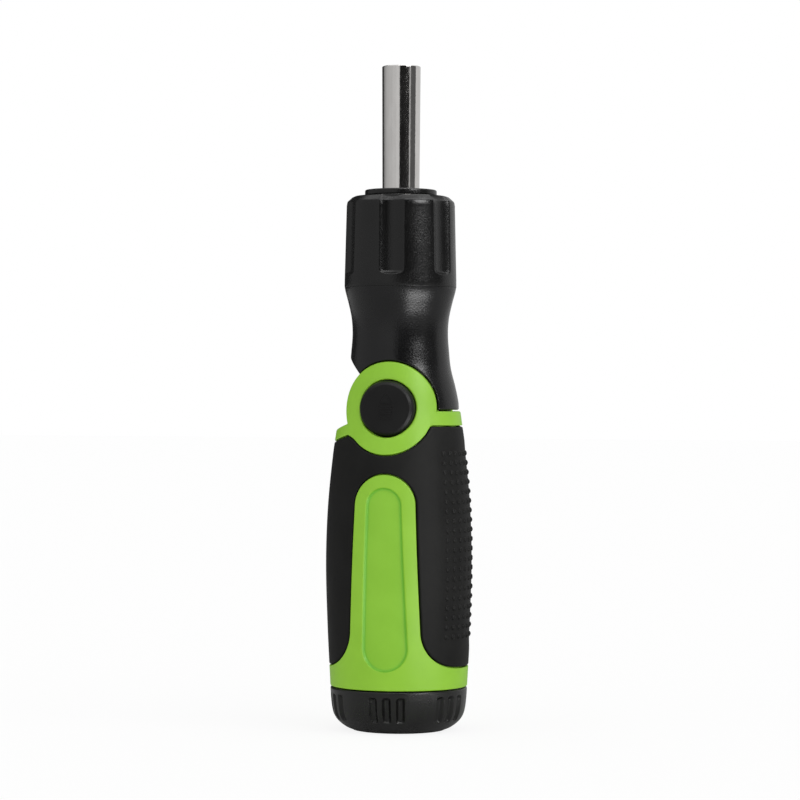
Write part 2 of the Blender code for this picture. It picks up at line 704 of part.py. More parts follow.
def shell_screws():
    """Four pan-head screws, driven from the back."""
    screws = []
    for index, (x, z, seat, end) in enumerate(screw_places(), start=1):
        seat += GAP
        head = seat + SCREW_HEAD_HEIGHT
        profile = [
            (0.0, head), (SCREW_HEAD_TOP_RADIUS, head), (SCREW_HEAD_RADIUS, head - SCREW_SLOT_DEPTH),
            (SCREW_HEAD_RADIUS, seat), (SCREW_RADIUS, seat), (SCREW_RADIUS, end + SCREW_RADIUS), (0.0, end),
        ]
        screw = at_screw(turned(f"shell_screw_{index}", profile, "steel", COARSE), x, z)
        slot = box(
            f"screw_slot_{index}",
            (x - SCREW_HEAD_RADIUS, head - SCREW_SLOT_DEPTH, z - SCREW_SLOT_HALF_WIDTH),
            (x + SCREW_HEAD_RADIUS, head + BITE, z + SCREW_SLOT_HALF_WIDTH))
        screws.append(boolean(screw, slot))
    return screws


def pivot_cover_back():
    """Black plug that closes the back of the pivot."""
    inner = -cover_inner_y()
    outer = inner - COVER_THICKNESS
    skirt = inner + COVER_SKIRT
    rim = outer + BUTTON_EDGE_ROUND
    profile = [
        (0.0, inner), (COVER_BORE_RADIUS, inner), (COVER_BORE_RADIUS, skirt), (COVER_RADIUS, skirt),
        (COVER_RADIUS, rim), (COVER_RADIUS - BUTTON_EDGE_ROUND, outer), (0.0, outer),
    ]
    return turned("pivot_cover_back", profile, "black_plastic", PIVOT_SIDES, along_y=True)


def pivot_button():
    """Round push button with flange and stem, bored for the lock screw."""
    face = BUTTON_FACE_Y
    flange_top = CHEEK_Y + FLANGE_THICKNESS + BUTTON_TRAVEL + GAP
    flange_bottom = flange_top - FLANGE_THICKNESS
    stem_end = -CHEEK_Y + GAP
    profile = [
        (0.0, face), (BUTTON_RADIUS - BUTTON_EDGE_ROUND, face), (BUTTON_RADIUS, face - BUTTON_EDGE_ROUND),
        (BUTTON_RADIUS, flange_top), (FLANGE_RADIUS, flange_top), (FLANGE_RADIUS, flange_bottom),
        (STEM_RADIUS, flange_bottom), (STEM_RADIUS, stem_end),
        (STEM_BORE_RADIUS + GAP, stem_end), (STEM_BORE_RADIUS + GAP, stem_end + STEM_BORE_DEPTH),
        (0.0, stem_end + STEM_BORE_DEPTH),
    ]
    return turned("pivot_button", profile, "black_plastic", PIVOT_SIDES, along_y=True)


def lock_wheel():
    """Toothed wheel on the stem's end; at rest it ends short of the knuckle's socket."""
    outline = gear_outline(WHEEL_TEETH, WHEEL_ROOT_RADIUS, WHEEL_TIP_RADIUS)
    outline = [(x, z + PIVOT_Z) for x, z in outline]
    wheel = plate(
        "lock_wheel", outline, -CHEEK_Y - WHEEL_THICKNESS, -CHEEK_Y, "steel", along_y=True)
    bore = turned(
        "wheel_bore", solid_profile(STEM_BORE_RADIUS + GAP, -REACH, REACH), sides=COARSE, along_y=True)
    return boolean(wheel, bore)


def lock_screw():
    """Screw that holds the lock wheel on the stem."""
    seat = -CHEEK_Y - WHEEL_THICKNESS - GAP
    head = seat - SCREW_HEAD_HEIGHT + GAP
    profile = [
        (0.0, -CHEEK_Y + STEM_BORE_DEPTH - GAP), (STEM_BORE_RADIUS, -CHEEK_Y + STEM_BORE_DEPTH - GAP),
        (STEM_BORE_RADIUS, seat), (STEM_RADIUS, seat), (STEM_RADIUS, head), (0.0, head),
    ]
    return turned("lock_screw", profile, "steel", COARSE, along_y=True)


def button_spring():
    """Coil spring round the stem, between the flange and the knuckle's ledge."""
    top = CHEEK_Y + BUTTON_TRAVEL - SPRING_WIRE_RADIUS
    bottom = SPRING_SEAT_Y + GAP + SPRING_WIRE_RADIUS
    steps = SPRING_TURNS * SPRING_TURN_STEPS
    points = []
    for index in range(steps + 1):
        angle = 2 * math.pi * index / SPRING_TURN_STEPS
        height = bottom + (top - bottom) * index / steps
        points.append((SPRING_RADIUS * math.cos(angle), SPRING_RADIUS * math.sin(angle), height))
    pitch = (top - bottom) / SPRING_TURNS
    print(f"button_spring: least gap between turns {(pitch - 2 * SPRING_WIRE_RADIUS) / MM:.2f} mm")
    return wire("button_spring", points, SPRING_WIRE_RADIUS, "steel", along_y=True)


def knuckle():
    """Disc between the cheeks with its trunnion rims, spring bore and toothed socket."""
    face = CHEEK_Y - GAP - KNUCKLE_RELIEF
    rim = CHEEK_Y - GAP + TRUNNION_HEIGHT
    spring_bore = SPRING_RADIUS + SPRING_WIRE_RADIUS + 2 * GAP
    stem_bore = STEM_RADIUS + GAP
    socket_y = CHEEK_Y - GAP - SOCKET_DEPTH
    profile = [
        (TRUNNION_INNER, face), (TRUNNION_INNER, rim), (TRUNNION_OUTER, rim), (TRUNNION_OUTER, face),
        (RING_RADIUS, face), (RING_RADIUS, -face), (TRUNNION_OUTER, -face), (TRUNNION_OUTER, -rim),
        (TRUNNION_INNER, -rim), (TRUNNION_INNER, -face), (stem_bore, -face),
        (stem_bore, SPRING_SEAT_Y), (spring_bore, SPRING_SEAT_Y), (spring_bore, face),
    ]
    disc = turned("knuckle", profile, sides=PIVOT_SIDES, along_y=True, closed=True)
    return boolean(disc, wheel_pocket("wheel_socket", socket_y, CHEEK_Y + TRUNNION_HEIGHT))


def neck_housing():
    """Black neck with its knuckle below and the hollow ratchet barrel above."""
    ring_z = PAWL_WINDOW_Z + PAWL_WINDOW_HEIGHT / 2
    groove = PAWL_RING_WIRE + GAP
    groove_floor = PAWL_RING_RADIUS - groove
    profile = [
        (0.0, LOWER_BORE_Z), (LOWER_BORE_RADIUS, LOWER_BORE_Z), (LOWER_BORE_RADIUS, GEAR_CHAMBER_Z),
        (GEAR_CHAMBER_RADIUS, GEAR_CHAMBER_Z), (GEAR_CHAMBER_RADIUS, BARREL_TOP_Z),
        (BARREL_RADIUS, BARREL_TOP_Z), (BARREL_RADIUS, ring_z + groove), (groove_floor, ring_z + groove),
        (groove_floor, ring_z - groove), (BARREL_RADIUS, ring_z - groove), (BARREL_RADIUS, COLLAR_Z - GAP),
    ]
    profile += form_profile(NECK_FORM, PIVOT_Z - GAP, COLLAR_Z - GAP, NECK_ROWS)
    profile += [(0.0, PIVOT_Z - GAP)]
    neck = turned("neck_housing", profile, "black_plastic", ROUND)
    sector = [
        (-BITE, PIVOT_Z - BITE), (REACH, PIVOT_Z - BITE), (REACH, PIVOT_Z + 2 * REACH),
        pivot_point(NECK_CUT_DEG, 2 * REACH), pivot_point(NECK_CUT_DEG, 2 * BITE),
    ]
    boolean(neck, plate("neck_sector", sector, -REACH, REACH, along_y=True), "INTERSECT")
    inner_face = CHEEK_Y - GAP
    core = RING_RADIUS - 2 * GAP
    spool = [
        (0.0, REACH), (RING_RADIUS + GAP, REACH), (RING_RADIUS + GAP, inner_face), (core, inner_face),
        (core, -inner_face), (RING_RADIUS + GAP, -inner_face), (RING_RADIUS + GAP, -REACH), (0.0, -REACH),
    ]
    boolean(neck, turned("cheek_space", spool, sides=PIVOT_SIDES, along_y=True))
    top = PAWL_WINDOW_Z + PAWL_WINDOW_HEIGHT
    for side, sign in (("left", -1.0), ("right", 1.0)):
        left, right = sorted((sign * GEAR_ROOT_RADIUS, sign * (BARREL_RADIUS + BITE)))
        boolean(neck, box(
            "pawl_window_" + side,
            (left, -PAWL_WINDOW_HALF_WIDTH, PAWL_WINDOW_Z), (right, PAWL_WINDOW_HALF_WIDTH, top)))
        hole = solid_profile(
            PAWL_PIN_RADIUS + GAP, PAWL_WINDOW_Z - PAWL_PIN_SEAT - GAP, top + PAWL_PIN_SEAT + GAP)
        boolean(neck, turned("pawl_pin_hole_" + side, hole, sides=COARSE, at=(sign * PAWL_PIN_X, PAWL_PIN_Y)))
    detent = solid_profile(
        DETENT_BALL_RADIUS + GAP / 2, BARREL_TOP_Z - DETENT_HOLE_DEPTH, BARREL_TOP_Z + BITE)
    boolean(neck, turned("detent_hole", detent, sides=COARSE, at=(0.0, DETENT_X_RADIUS)))
    return boolean(neck, knuckle(), "UNION")


def nose_ring():
    """Ring on top of the barrel that holds the collar down."""
    shoulder = NOSE_TOP_Z - NOSE_FLANGE
    profile = [
        (NOSE_RADIUS - NOSE_EDGE, NOSE_TOP_Z), (NOSE_RADIUS, NOSE_TOP_Z - NOSE_EDGE), (NOSE_RADIUS, shoulder),
        (COLLAR_LIP_RADIUS - GAP, shoulder), (COLLAR_LIP_RADIUS - GAP, BARREL_TOP_Z + GAP),
        (HOLDER_TIP_RADIUS + GAP, BARREL_TOP_Z + GAP), (HOLDER_TIP_RADIUS + GAP, NOSE_TOP_Z),
    ]
    return turned("nose_ring", profile, "black_plastic", ROUND, closed=True)


def shaft_bushes():
    """Upper and lower bearing bushes of the shaft."""
    upper = turned("nose_bush", ring_profile(
        HOLDER_RADIUS + GAP, GEAR_CHAMBER_RADIUS - GAP, BUSH_Z, BARREL_TOP_Z),
        "bronze", FINE, closed=True)
    lower = turned("shaft_bush", ring_profile(
        JOURNAL_RADIUS + GAP, LOWER_BORE_RADIUS - GAP, LOWER_BUSH_Z, GEAR_CHAMBER_Z),
        "bronze", FINE, closed=True)
    return [upper, lower]


def pawl_pieces():
    """Pawls and their pins, and the wire ring that presses both inwards."""
    bottom = PAWL_WINDOW_Z + GAP
    top = PAWL_WINDOW_Z + PAWL_WINDOW_HEIGHT - GAP
    round_end = PAWL_PIN_RADIUS + GAP + PAWL_EYE_WALL
    half = PAWL_WINDOW_HALF_WIDTH - 2 * GAP
    groups = {}
    for side, sign in (("left", -1.0), ("right", 1.0)):
        outline = [
            (PAWL_TOE_X, PAWL_TOE_Y), (PAWL_TOE_X + PAWL_TOE_WIDTH, -half), (PAWL_BACK_X, -half),
            (PAWL_PIN_X + round_end, PAWL_PIN_Y - PAWL_WAIST),
        ]
        outline += arc((PAWL_PIN_X, PAWL_PIN_Y), round_end, 0.0, 150.0, 5)
        outline += [(PAWL_PIN_X - round_end, PAWL_PIN_Y - PAWL_WAIST)]
        outline = [(sign * x, y) for x, y in outline]
        pawl = plate("pawl_" + side, outline, bottom, top, "steel")
        place = (sign * PAWL_PIN_X, PAWL_PIN_Y)
        boolean(pawl, turned(
            "pawl_bore_" + side, solid_profile(PAWL_PIN_RADIUS + GAP, bottom - BITE, top + BITE),
            sides=COARSE, at=place))
        pin = turned("pawl_pin_" + side, solid_profile(
            PAWL_PIN_RADIUS, bottom - GAP - PAWL_PIN_SEAT, top + GAP + PAWL_PIN_SEAT),
            "steel", COARSE, at=place)
        groups["pawl_" + side] = pawl
        groups["pawl_pin_" + side] = pin
    ring_z = PAWL_WINDOW_Z + PAWL_WINDOW_HEIGHT / 2
    start = 90.0 + PAWL_RING_OPENING_DEG / 2
    ends = arc((0.0, 0.0), PAWL_RING_RADIUS, start, start + 360.0 - PAWL_RING_OPENING_DEG, RING_STEPS)
    points = [(x, y, ring_z) for x, y in ends]
    groups["pawl_spring_ring"] = wire("pawl_spring_ring", points, PAWL_RING_WIRE, "steel")
    return groups


def detent_pieces():
    """Ball and spring of the collar's detent; the ball ends short of its dimples."""
    centre = BARREL_TOP_Z + GAP / 2 - DETENT_BALL_RADIUS
    mesh = bpy.data.meshes.new("detent_ball")
    work = bmesh.new()
    bmesh.ops.create_uvsphere(
        work, u_segments=BALL_SEGMENTS, v_segments=BALL_RINGS, radius=DETENT_BALL_RADIUS)
    work.to_mesh(mesh)
    work.free()
    ball = add_object("detent_ball", mesh, "steel")
    ball.location = (0.0, DETENT_X_RADIUS, centre)
    spring = turned("detent_spring", ring_profile(
        DETENT_SPRING_INNER, DETENT_SPRING_OUTER,
        BARREL_TOP_Z - DETENT_HOLE_DEPTH + GAP, centre - DETENT_BALL_RADIUS - GAP),
        "steel", COARSE, closed=True, at=(0.0, DETENT_X_RADIUS))
    return [ball, spring]


def selector_collar():
    """Fluted collar that turns on the barrel and selects the ratchet's direction."""
    inner = BARREL_RADIUS + GAP
    roof = BARREL_TOP_Z + GAP + GAP / 2
    corner = arc(
        (COLLAR_TOP_RADIUS - COLLAR_ROUND, COLLAR_TOP_Z - COLLAR_ROUND), COLLAR_ROUND, 90.0, 0.0,
        CORNER_STEPS)
    profile = corner + [
        (COLLAR_RADIUS, COLLAR_Z + COLLAR_BELT_HEIGHT), (COLLAR_RADIUS, COLLAR_Z + COLLAR_EDGE),
        (COLLAR_RADIUS - COLLAR_EDGE, COLLAR_Z), (inner, COLLAR_Z), (inner, roof),
        (COLLAR_LIP_RADIUS, roof), (COLLAR_LIP_RADIUS, COLLAR_TOP_Z),
    ]
    collar = turned("selector_collar", profile, "black_plastic", ROUND, closed=True)
    centre = (FLUTE_HALF_WIDTH - FLUTE_CORNER, FLUTE_BOTTOM_Z + FLUTE_CORNER)
    flute = arc(centre, FLUTE_CORNER, 0.0, -90.0, CORNER_STEPS)
    outline = [(FLUTE_HALF_WIDTH, COLLAR_TOP_Z + BITE)] + flute
    outline += [(-x, z) for x, z in reversed(outline)]
    for index in range(FLUTES):
        cutter = plate(
            f"flute_{index + 1}", outline, COLLAR_TOP_RADIUS - FLUTE_DEPTH, COLLAR_RADIUS + 3 * BITE,
            along_y=True)
        turn = Matrix.Rotation(2 * math.pi * index / FLUTES, 4, "Z")
        upright = Matrix.Rotation(math.pi / 2, 4, "X")
        cutter.matrix_world = turn @ Matrix.Translation(cutter.location) @ upright
        boolean(collar, cutter)
    for index, step in enumerate((-SELECTOR_STEP_DEG, 0.0, SELECTOR_STEP_DEG), start=1):
        angle = math.radians(90.0 + step)
        place = (DETENT_X_RADIUS * math.cos(angle), DETENT_X_RADIUS * math.sin(angle))
        dimple = [(0.0, roof + DIMPLE_DEPTH), (DIMPLE_RADIUS, roof - GAP / 2), (0.0, roof - GAP / 2)]
        boolean(collar, turned(f"dimple_{index}", dimple, sides=COARSE, at=place))
    return collar


def bit_holder():
    """Chromed shaft: hex socket and magnet bore above, gear seat and journal below."""
    seat_top = GEAR_Z - GAP
    flange_bottom = seat_top - SHAFT_FLANGE_THICKNESS
    groove_r = HOLDER_RADIUS - CIRCLIP_GROOVE_DEPTH
    groove_top = CIRCLIP_Z + CIRCLIP_THICKNESS + GAP
    magnet_bottom = TIP_Z - HEX_DEPTH - MAGNET_LENGTH - GAP
    profile = [
        (0.0, TIP_Z), (HOLDER_TIP_RADIUS - HOLDER_CHAMFER, TIP_Z),
        (HOLDER_TIP_RADIUS, TIP_Z - HOLDER_CHAMFER),
        (HOLDER_RADIUS, NOSE_TOP_Z), (HOLDER_RADIUS, groove_top), (groove_r, groove_top),
        (groove_r, CIRCLIP_Z - GAP), (HOLDER_RADIUS, CIRCLIP_Z - GAP), (HOLDER_RADIUS, seat_top),
        (SHAFT_FLANGE_RADIUS, seat_top), (SHAFT_FLANGE_RADIUS, flange_bottom),
        (JOURNAL_RADIUS, flange_bottom), (JOURNAL_RADIUS, SHAFT_END_Z), (0.0, SHAFT_END_Z),
    ]
    holder = turned("bit_holder", profile, "chrome", HOLDER_SIDES)
    radius = HEX_WIDTH / 2 / math.cos(math.pi / 6)
    mouth = [
        (0.0, TIP_Z + BITE), (radius + BITE + 2 * HOLDER_CHAMFER, TIP_Z + BITE),
        (radius, TIP_Z - HOLDER_CHAMFER), (radius, TIP_Z - HEX_DEPTH), (0.0, TIP_Z - HEX_DEPTH),
    ]
    boolean(holder, turned("hex_socket", mouth, sides=HEX_SIDES))
    boolean(holder, turned("magnet_bore", solid_profile(
        MAGNET_RADIUS + GAP, magnet_bottom, TIP_Z - HEX_DEPTH + BITE), sides=COARSE))
    clip_z = TIP_Z - CLIP_BELOW_TIP
    groove_outer = CLIP_INNER_RADIUS + CLIP_WIDTH + GAP
    return boolean(holder, turned("clip_groove", solid_profile(
        groove_outer, clip_z - CLIP_THICKNESS / 2 - GAP, clip_z + CLIP_THICKNESS / 2 + GAP), sides=COARSE))


def open_ring(name, inner, outer, bottom, top, opening_deg, finish):
    """Flat C-shaped ring round Z."""
    start = 90.0 + opening_deg / 2
    end = start + 360.0 - opening_deg
    outline = arc((0.0, 0.0), outer, start, end, CLIP_STEPS) + arc((0.0, 0.0), inner, end, start, CLIP_STEPS)
    return plate(name, outline, bottom, top, finish)


def shaft_pieces():
    """Gear, circlip, magnet and the socket's C ring."""
    gear = plate(
        "ratchet_gear", gear_outline(GEAR_TEETH, GEAR_ROOT_RADIUS, GEAR_TIP_RADIUS),
        GEAR_Z, GEAR_Z + GEAR_HEIGHT, "steel")
    boolean(gear, turned("gear_bore", solid_profile(
        HOLDER_RADIUS + GAP, GEAR_Z - BITE, GEAR_Z + GEAR_HEIGHT + BITE), sides=FINE))
    circlip = open_ring(
        "gear_circlip", HOLDER_RADIUS - CIRCLIP_GROOVE_DEPTH + GAP, CIRCLIP_RADIUS,
        CIRCLIP_Z, CIRCLIP_Z + CIRCLIP_THICKNESS, CIRCLIP_OPENING_DEG, "steel")
    magnet_top = TIP_Z - HEX_DEPTH
    magnet = turned("socket_magnet", solid_profile(
        MAGNET_RADIUS, magnet_top - MAGNET_LENGTH, magnet_top), "steel", COARSE)
    clip_z = TIP_Z - CLIP_BELOW_TIP
    clip = open_ring(
        "bit_retaining_ring", CLIP_INNER_RADIUS, CLIP_INNER_RADIUS + CLIP_WIDTH,
        clip_z - CLIP_THICKNESS / 2, clip_z + CLIP_THICKNESS / 2, CLIP_OPENING_DEG, "steel")
    return [gear, circlip, magnet, clip]


def bit_places():
    """Centres of the stored bits."""
    places = []
    for index in range(BITS):
        angle = math.radians(90.0 + 360.0 * index / BITS)
        places.append((BIT_CIRCLE_RADIUS * math.cos(angle), BIT_CIRCLE_RADIUS * math.sin(angle)))
    return places


def bit_tray():
    """Fluted carousel with a channel for each bit and a hub on the cap's post."""
    top = TRAY_Z + TRAY_HEIGHT
    bore = POST_RADIUS + GAP
    clip_seat = TRAY_CLIP_Z - GAP
    profile = [
        (TRAY_RADIUS, top), (TRAY_RADIUS, TRAY_Z), (TRAY_HUB_RADIUS, TRAY_Z),
        (TRAY_HUB_RADIUS, TRAY_HUB_BOTTOM_Z), (bore, TRAY_HUB_BOTTOM_Z), (bore, clip_seat),
        (TRAY_CLIP_RADIUS + GAP, clip_seat), (TRAY_CLIP_RADIUS + GAP, top),
    ]
    tray = turned("bit_tray", profile, "black_plastic", ROUND, closed=True)
    for index, (x, y) in enumerate(bit_places(), start=1):
        boolean(tray, turned(
            f"bit_channel_{index}", solid_profile(CHANNEL_RADIUS, TRAY_Z + TRAY_FLOOR, top + BITE),
            sides=COARSE, at=(x, y)))
    return tray


def stored_bits():
    """Six hex bits, tips up."""
    radius = BIT_WIDTH / 2 / math.cos(math.pi / 6)
    bottom = TRAY_Z + TRAY_FLOOR + GAP
    top = bottom + BIT_LENGTH
    bits = []
    for index, (x, y) in enumerate(bit_places(), start=1):
        profile = [
            (0.0, top), (BIT_TIP_RADIUS, top), (BIT_NECK_RADIUS, top - BIT_TIP_LENGTH),
            (BIT_NECK_RADIUS, top - BIT_NECK_LENGTH), (radius, top - BIT_SHOULDER_LENGTH),
            (radius, bottom + BIT_CHAMFER), (radius - BIT_CHAMFER, bottom), (0.0, bottom),
        ]
        bits.append(turned(f"bit_{index}", profile, "steel", HEX_SIDES, at=(x, y)))
    return bits


def groove_cutter(name, turn_deg):
    """Leaning round bar with a rounded top end that cuts one finger groove."""
    length = (GROOVE_TOP_Z + 2 * BITE) / math.cos(math.radians(GROOVE_LEAN_DEG))
    profile = [
        (0.0, 0.0), (GROOVE_RADIUS, -GROOVE_RADIUS), (GROOVE_RADIUS, -length), (0.0, -length),
    ]
    cutter = turned(name, profile, sides=GROOVE_SIDES)
    cutter.matrix_world = (
        Matrix.Rotation(math.radians(turn_deg), 4, "Z")
        @ Matrix.Translation((GROOVE_TOP_RADIUS, 0.0, GROOVE_TOP_Z))
        @ Matrix.Rotation(math.radians(GROOVE_LEAN_DEG), 4, "Y")
    )
    return cutter


def end_cap():
    """Grooved cap with its spigot and the post that carries the tray."""
    spigot_radius = STORE_RADIUS - GAP
    top = SEAM_Z - GAP
    seal_floor = spigot_radius - 2 * SEAL_WIRE_RADIUS - GAP
    half = SEAL_WIRE_RADIUS + GAP
    profile = [
        (0.0, POST_TOP_Z), (POST_RADIUS, POST_TOP_Z), (POST_RADIUS, CAP_FLOOR),
        (CAP_HOLLOW_RADIUS, CAP_FLOOR), (CAP_HOLLOW_RADIUS, SPIGOT_TOP_Z),
        (spigot_radius, SPIGOT_TOP_Z), (spigot_radius, SEAL_Z + half), (seal_floor, SEAL_Z + half),
        (seal_floor, SEAL_Z - half), (spigot_radius, SEAL_Z - half), (spigot_radius, top),
    ]
    profile += form_profile(CAP_FORM, 0.0, top, CAP_ROWS)
    profile += [(0.0, 0.0)]
    cap = turned("end_cap", profile, "black_plastic", ROUND)
    for group in range(GROOVE_GROUPS):
        for groove in range(GROOVES_PER_GROUP):
            offset = (groove - (GROOVES_PER_GROUP - 1) / 2) * GROOVE_PITCH_DEG
            turn = -90.0 + group * 360.0 / GROOVE_GROUPS + offset
            boolean(cap, groove_cutter(f"cap_groove_{group + 1}_{groove + 1}", turn))
    return cap


def cap_fittings():
    """O-ring on the spigot and push-on nut on the post."""
    centre = STORE_RADIUS - SEAL_GAP - SEAL_WIRE_RADIUS
    steps = SEAL_WIRE_SIDES - 1
    last_deg = 90.0 - 360.0 * steps / SEAL_WIRE_SIDES
    circle = arc((centre, SEAL_Z), SEAL_WIRE_RADIUS, 90.0, last_deg, steps)
    seal = turned("cap_seal", circle, "black_rubber", FINE, closed=True)
    clip = turned("tray_clip", ring_profile(
        POST_RADIUS + GAP, TRAY_CLIP_RADIUS, TRAY_CLIP_Z, TRAY_CLIP_Z + TRAY_CLIP_THICKNESS),
        "steel", FINE, closed=True)
    return [seal, clip]


# Joint axis, the joint that carries it, and the pieces that move with it
JOINTS = {
    "button_slide": ((0.0, 0.0, PIVOT_Z), None, (
        "pivot_button", "lock_wheel", "lock_screw", "button_spring")),
    "fold_axis": ((0.0, 0.0, PIVOT_Z), None, (
        "neck_housing", "nose_ring", "nose_bush", "shaft_bush", "pawl_pin_left", "pawl_pin_right",
        "pawl_spring_ring", "detent_ball", "detent_spring")),
    "selector_axis": ((0.0, 0.0, COLLAR_Z), "fold_axis", ("selector_collar",)),
    "shaft_axis": ((0.0, 0.0, TIP_Z), "fold_axis", (
        "bit_holder", "ratchet_gear", "gear_circlip", "socket_magnet", "bit_retaining_ring")),
    "pawl_left_axis": ((-PAWL_PIN_X, PAWL_PIN_Y, PAWL_WINDOW_Z), "fold_axis", ("pawl_left",)),
    "pawl_right_axis": ((PAWL_PIN_X, PAWL_PIN_Y, PAWL_WINDOW_Z), "fold_axis", ("pawl_right",)),
    "tray_slide": ((0.0, 0.0, SEAM_Z), None, (
        ("bit_tray",) + tuple(f"bit_{index + 1}" for index in range(BITS)))),
    "cap_axis": ((0.0, 0.0, 0.0), "tray_slide", ("end_cap", "cap_seal", "tray_clip")),
}


def parent_to(obj, empty):
    """Parent an object to a joint's empty and keep it in place."""
    obj.parent = empty
    obj.matrix_parent_inverse = Matrix.Translation(empty.location).inverted()


def add_joints():
    """Empties on the joint axes, carrying the pieces that move with them."""
    for name, (place, carrier, pieces) in JOINTS.items():
        empty = bpy.data.objects.new(name, None)
        empty.empty_display_size = 5 * MM
        empty.location = place
        collection_named("multi_bit_screwdriver").objects.link(empty)
        if carrier:
            parent_to(empty, bpy.data.objects[carrier])
        for piece in pieces:
            parent_to(bpy.data.objects[piece], empty)


def main():
    for obj in list(bpy.data.objects):
        bpy.data.objects.remove(obj)
    for side in SIDES:
        handle_shell(side)
        grip(side)
    shell_screws()
    pivot_cover_back()
    pivot_button()
    lock_wheel()
    lock_screw()
    button_spring()
    neck_housing()
    nose_ring()
    shaft_bushes()
    pawl_pieces()
    detent_pieces()
    selector_collar()
    bit_holder()
    shaft_pieces()
    bit_tray()
    stored_bits()
    end_cap()
    cap_fittings()
    add_joints()


main()
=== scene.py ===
"""Looks of the folding multi-bit ratchet screwdriver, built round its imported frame."""
import json
import math

import bmesh
import bpy
import numpy as np
from mathutils import Matrix, Vector
from mathutils.geometry import delaunay_2d_cdt


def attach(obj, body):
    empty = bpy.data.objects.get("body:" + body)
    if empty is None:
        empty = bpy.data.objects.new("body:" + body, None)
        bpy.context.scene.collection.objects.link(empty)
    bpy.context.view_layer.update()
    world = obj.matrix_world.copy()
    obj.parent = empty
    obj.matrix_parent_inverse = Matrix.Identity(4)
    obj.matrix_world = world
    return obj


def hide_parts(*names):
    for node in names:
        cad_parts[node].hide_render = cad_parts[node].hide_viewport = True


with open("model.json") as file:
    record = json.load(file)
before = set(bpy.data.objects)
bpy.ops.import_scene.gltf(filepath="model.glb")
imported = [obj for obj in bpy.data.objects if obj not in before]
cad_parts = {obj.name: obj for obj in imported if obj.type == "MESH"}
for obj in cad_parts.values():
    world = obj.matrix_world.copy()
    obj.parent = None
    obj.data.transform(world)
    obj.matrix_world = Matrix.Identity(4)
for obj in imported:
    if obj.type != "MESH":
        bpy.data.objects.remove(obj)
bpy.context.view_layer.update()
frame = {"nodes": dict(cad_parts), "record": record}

MM = 0.001                # one millimetre in metres
GAP = 0.3                 # clearance between neighbouring pieces
SKIN = 0.04               # how far the looks lie inside the frame's outermost surface
UNROLL = 18.0             # radius at which the forms are unrolled

# Heights and radii of the frame in millimetres, and its angles in degrees
SEAM_Z = 11.9
PIVOT_Z = 86.6
COLLAR_Z = 119.3
BARREL_TOP_Z = 141.5
COLLAR_TOP_Z = 143.8
NOSE_TOP_Z = 145.6
TIP_Z = 179.0
RING_RADIUS = 12.5
RIGHT_SHOULDER_Z = 85.95
NECK_CUT_DEG = 44.0
SHOULDER_DEG = 109.0
BUTTON_RADIUS = 7.45
BUTTON_FACE_Y = 17.0


def smooth_form(*points):
    """Radius as a smooth function of height, through points (height, radius)."""
    heights = np.array([p[0] for p in points])
    radii = np.array([p[1] for p in points]) - SKIN
    last = len(points) - 1
    before = np.maximum(np.arange(last + 1) - 1, 0)
    after = np.minimum(np.arange(last + 1) + 1, last)
    slopes = (radii[after] - radii[before]) / (heights[after] - heights[before])

    def radius(z):
        z = np.clip(np.asarray(z, float), heights[0], heights[-1])
        i = np.clip(np.searchsorted(heights, z) - 1, 0, last - 1)
        span = heights[i + 1] - heights[i]
        t = (z - heights[i]) / span
        return (
            (2 * t ** 3 - 3 * t ** 2 + 1) * radii[i] + (t ** 3 - 2 * t ** 2 + t) * span * slopes[i]
            + (3 * t ** 2 - 2 * t ** 3) * radii[i + 1] + (t ** 3 - t ** 2) * span * slopes[i + 1]
        )
    return radius


handle_form = smooth_form(
    (SEAM_Z, 18.5), (28.0, 19.35), (45.0, 19.85), (60.0, 19.4), (PIVOT_Z - 12.6, 18.1),
    (PIVOT_Z - 4.6, 16.95), (PIVOT_Z, 16.3), (PIVOT_Z + 5.4, 15.6), (PIVOT_Z + 9.4, 14.8),
    (PIVOT_Z + 12.8, 13.9))
neck_form = smooth_form(
    (PIVOT_Z - GAP, 15.97), (PIVOT_Z + 1.8, 15.85), (PIVOT_Z + 5.9, 15.0), (PIVOT_Z + 10.9, 13.75),
    (PIVOT_Z + 15.4, 13.25), (COLLAR_Z - 12.5, 12.93), (COLLAR_Z - 8.3, 13.2),
    (COLLAR_Z - 4.3, 14.05), (COLLAR_Z - 1.7, 14.75), (COLLAR_Z - GAP, 15.09))
cap_form = smooth_form(
    (0.0, 12.0), (0.8, 14.1), (2.4, 16.25), (4.0, 17.4), (5.8, 17.95), (8.5, 18.3), (SEAM_Z - GAP, 18.5))


# Meshes

def smoothstep(x):
    """Soft step from 0 to 1."""
    x = np.clip(x, 0.0, 1.0)
    return x * x * (3 - 2 * x)


def weld(mesh, distance, flip=False):
    """Joins a mesh's points closer together than a distance in metres; flip turns its faces round."""
    work = bmesh.new()
    work.from_mesh(mesh)
    bmesh.ops.remove_doubles(work, verts=work.verts, dist=distance)
    if flip:
        bmesh.ops.reverse_faces(work, faces=work.faces)
    work.to_mesh(mesh)
    work.free()


def add_mesh(name, vertices, faces, material, sharp_deg=40.0, flip=False):
    """Mesh object from millimetres, smooth but for edges over an angle."""
    mesh = bpy.data.meshes.new(name)
    mesh.from_pydata([tuple(v) for v in np.asarray(vertices) * MM], [], [tuple(f) for f in faces])
    mesh.materials.append(material)
    weld(mesh, 1e-7, flip)
    mesh.shade_smooth()
    mesh.set_sharp_from_angle(angle=math.radians(sharp_deg))
    obj = bpy.data.objects.new(name, mesh)
    bpy.context.scene.collection.objects.link(obj)
    return obj


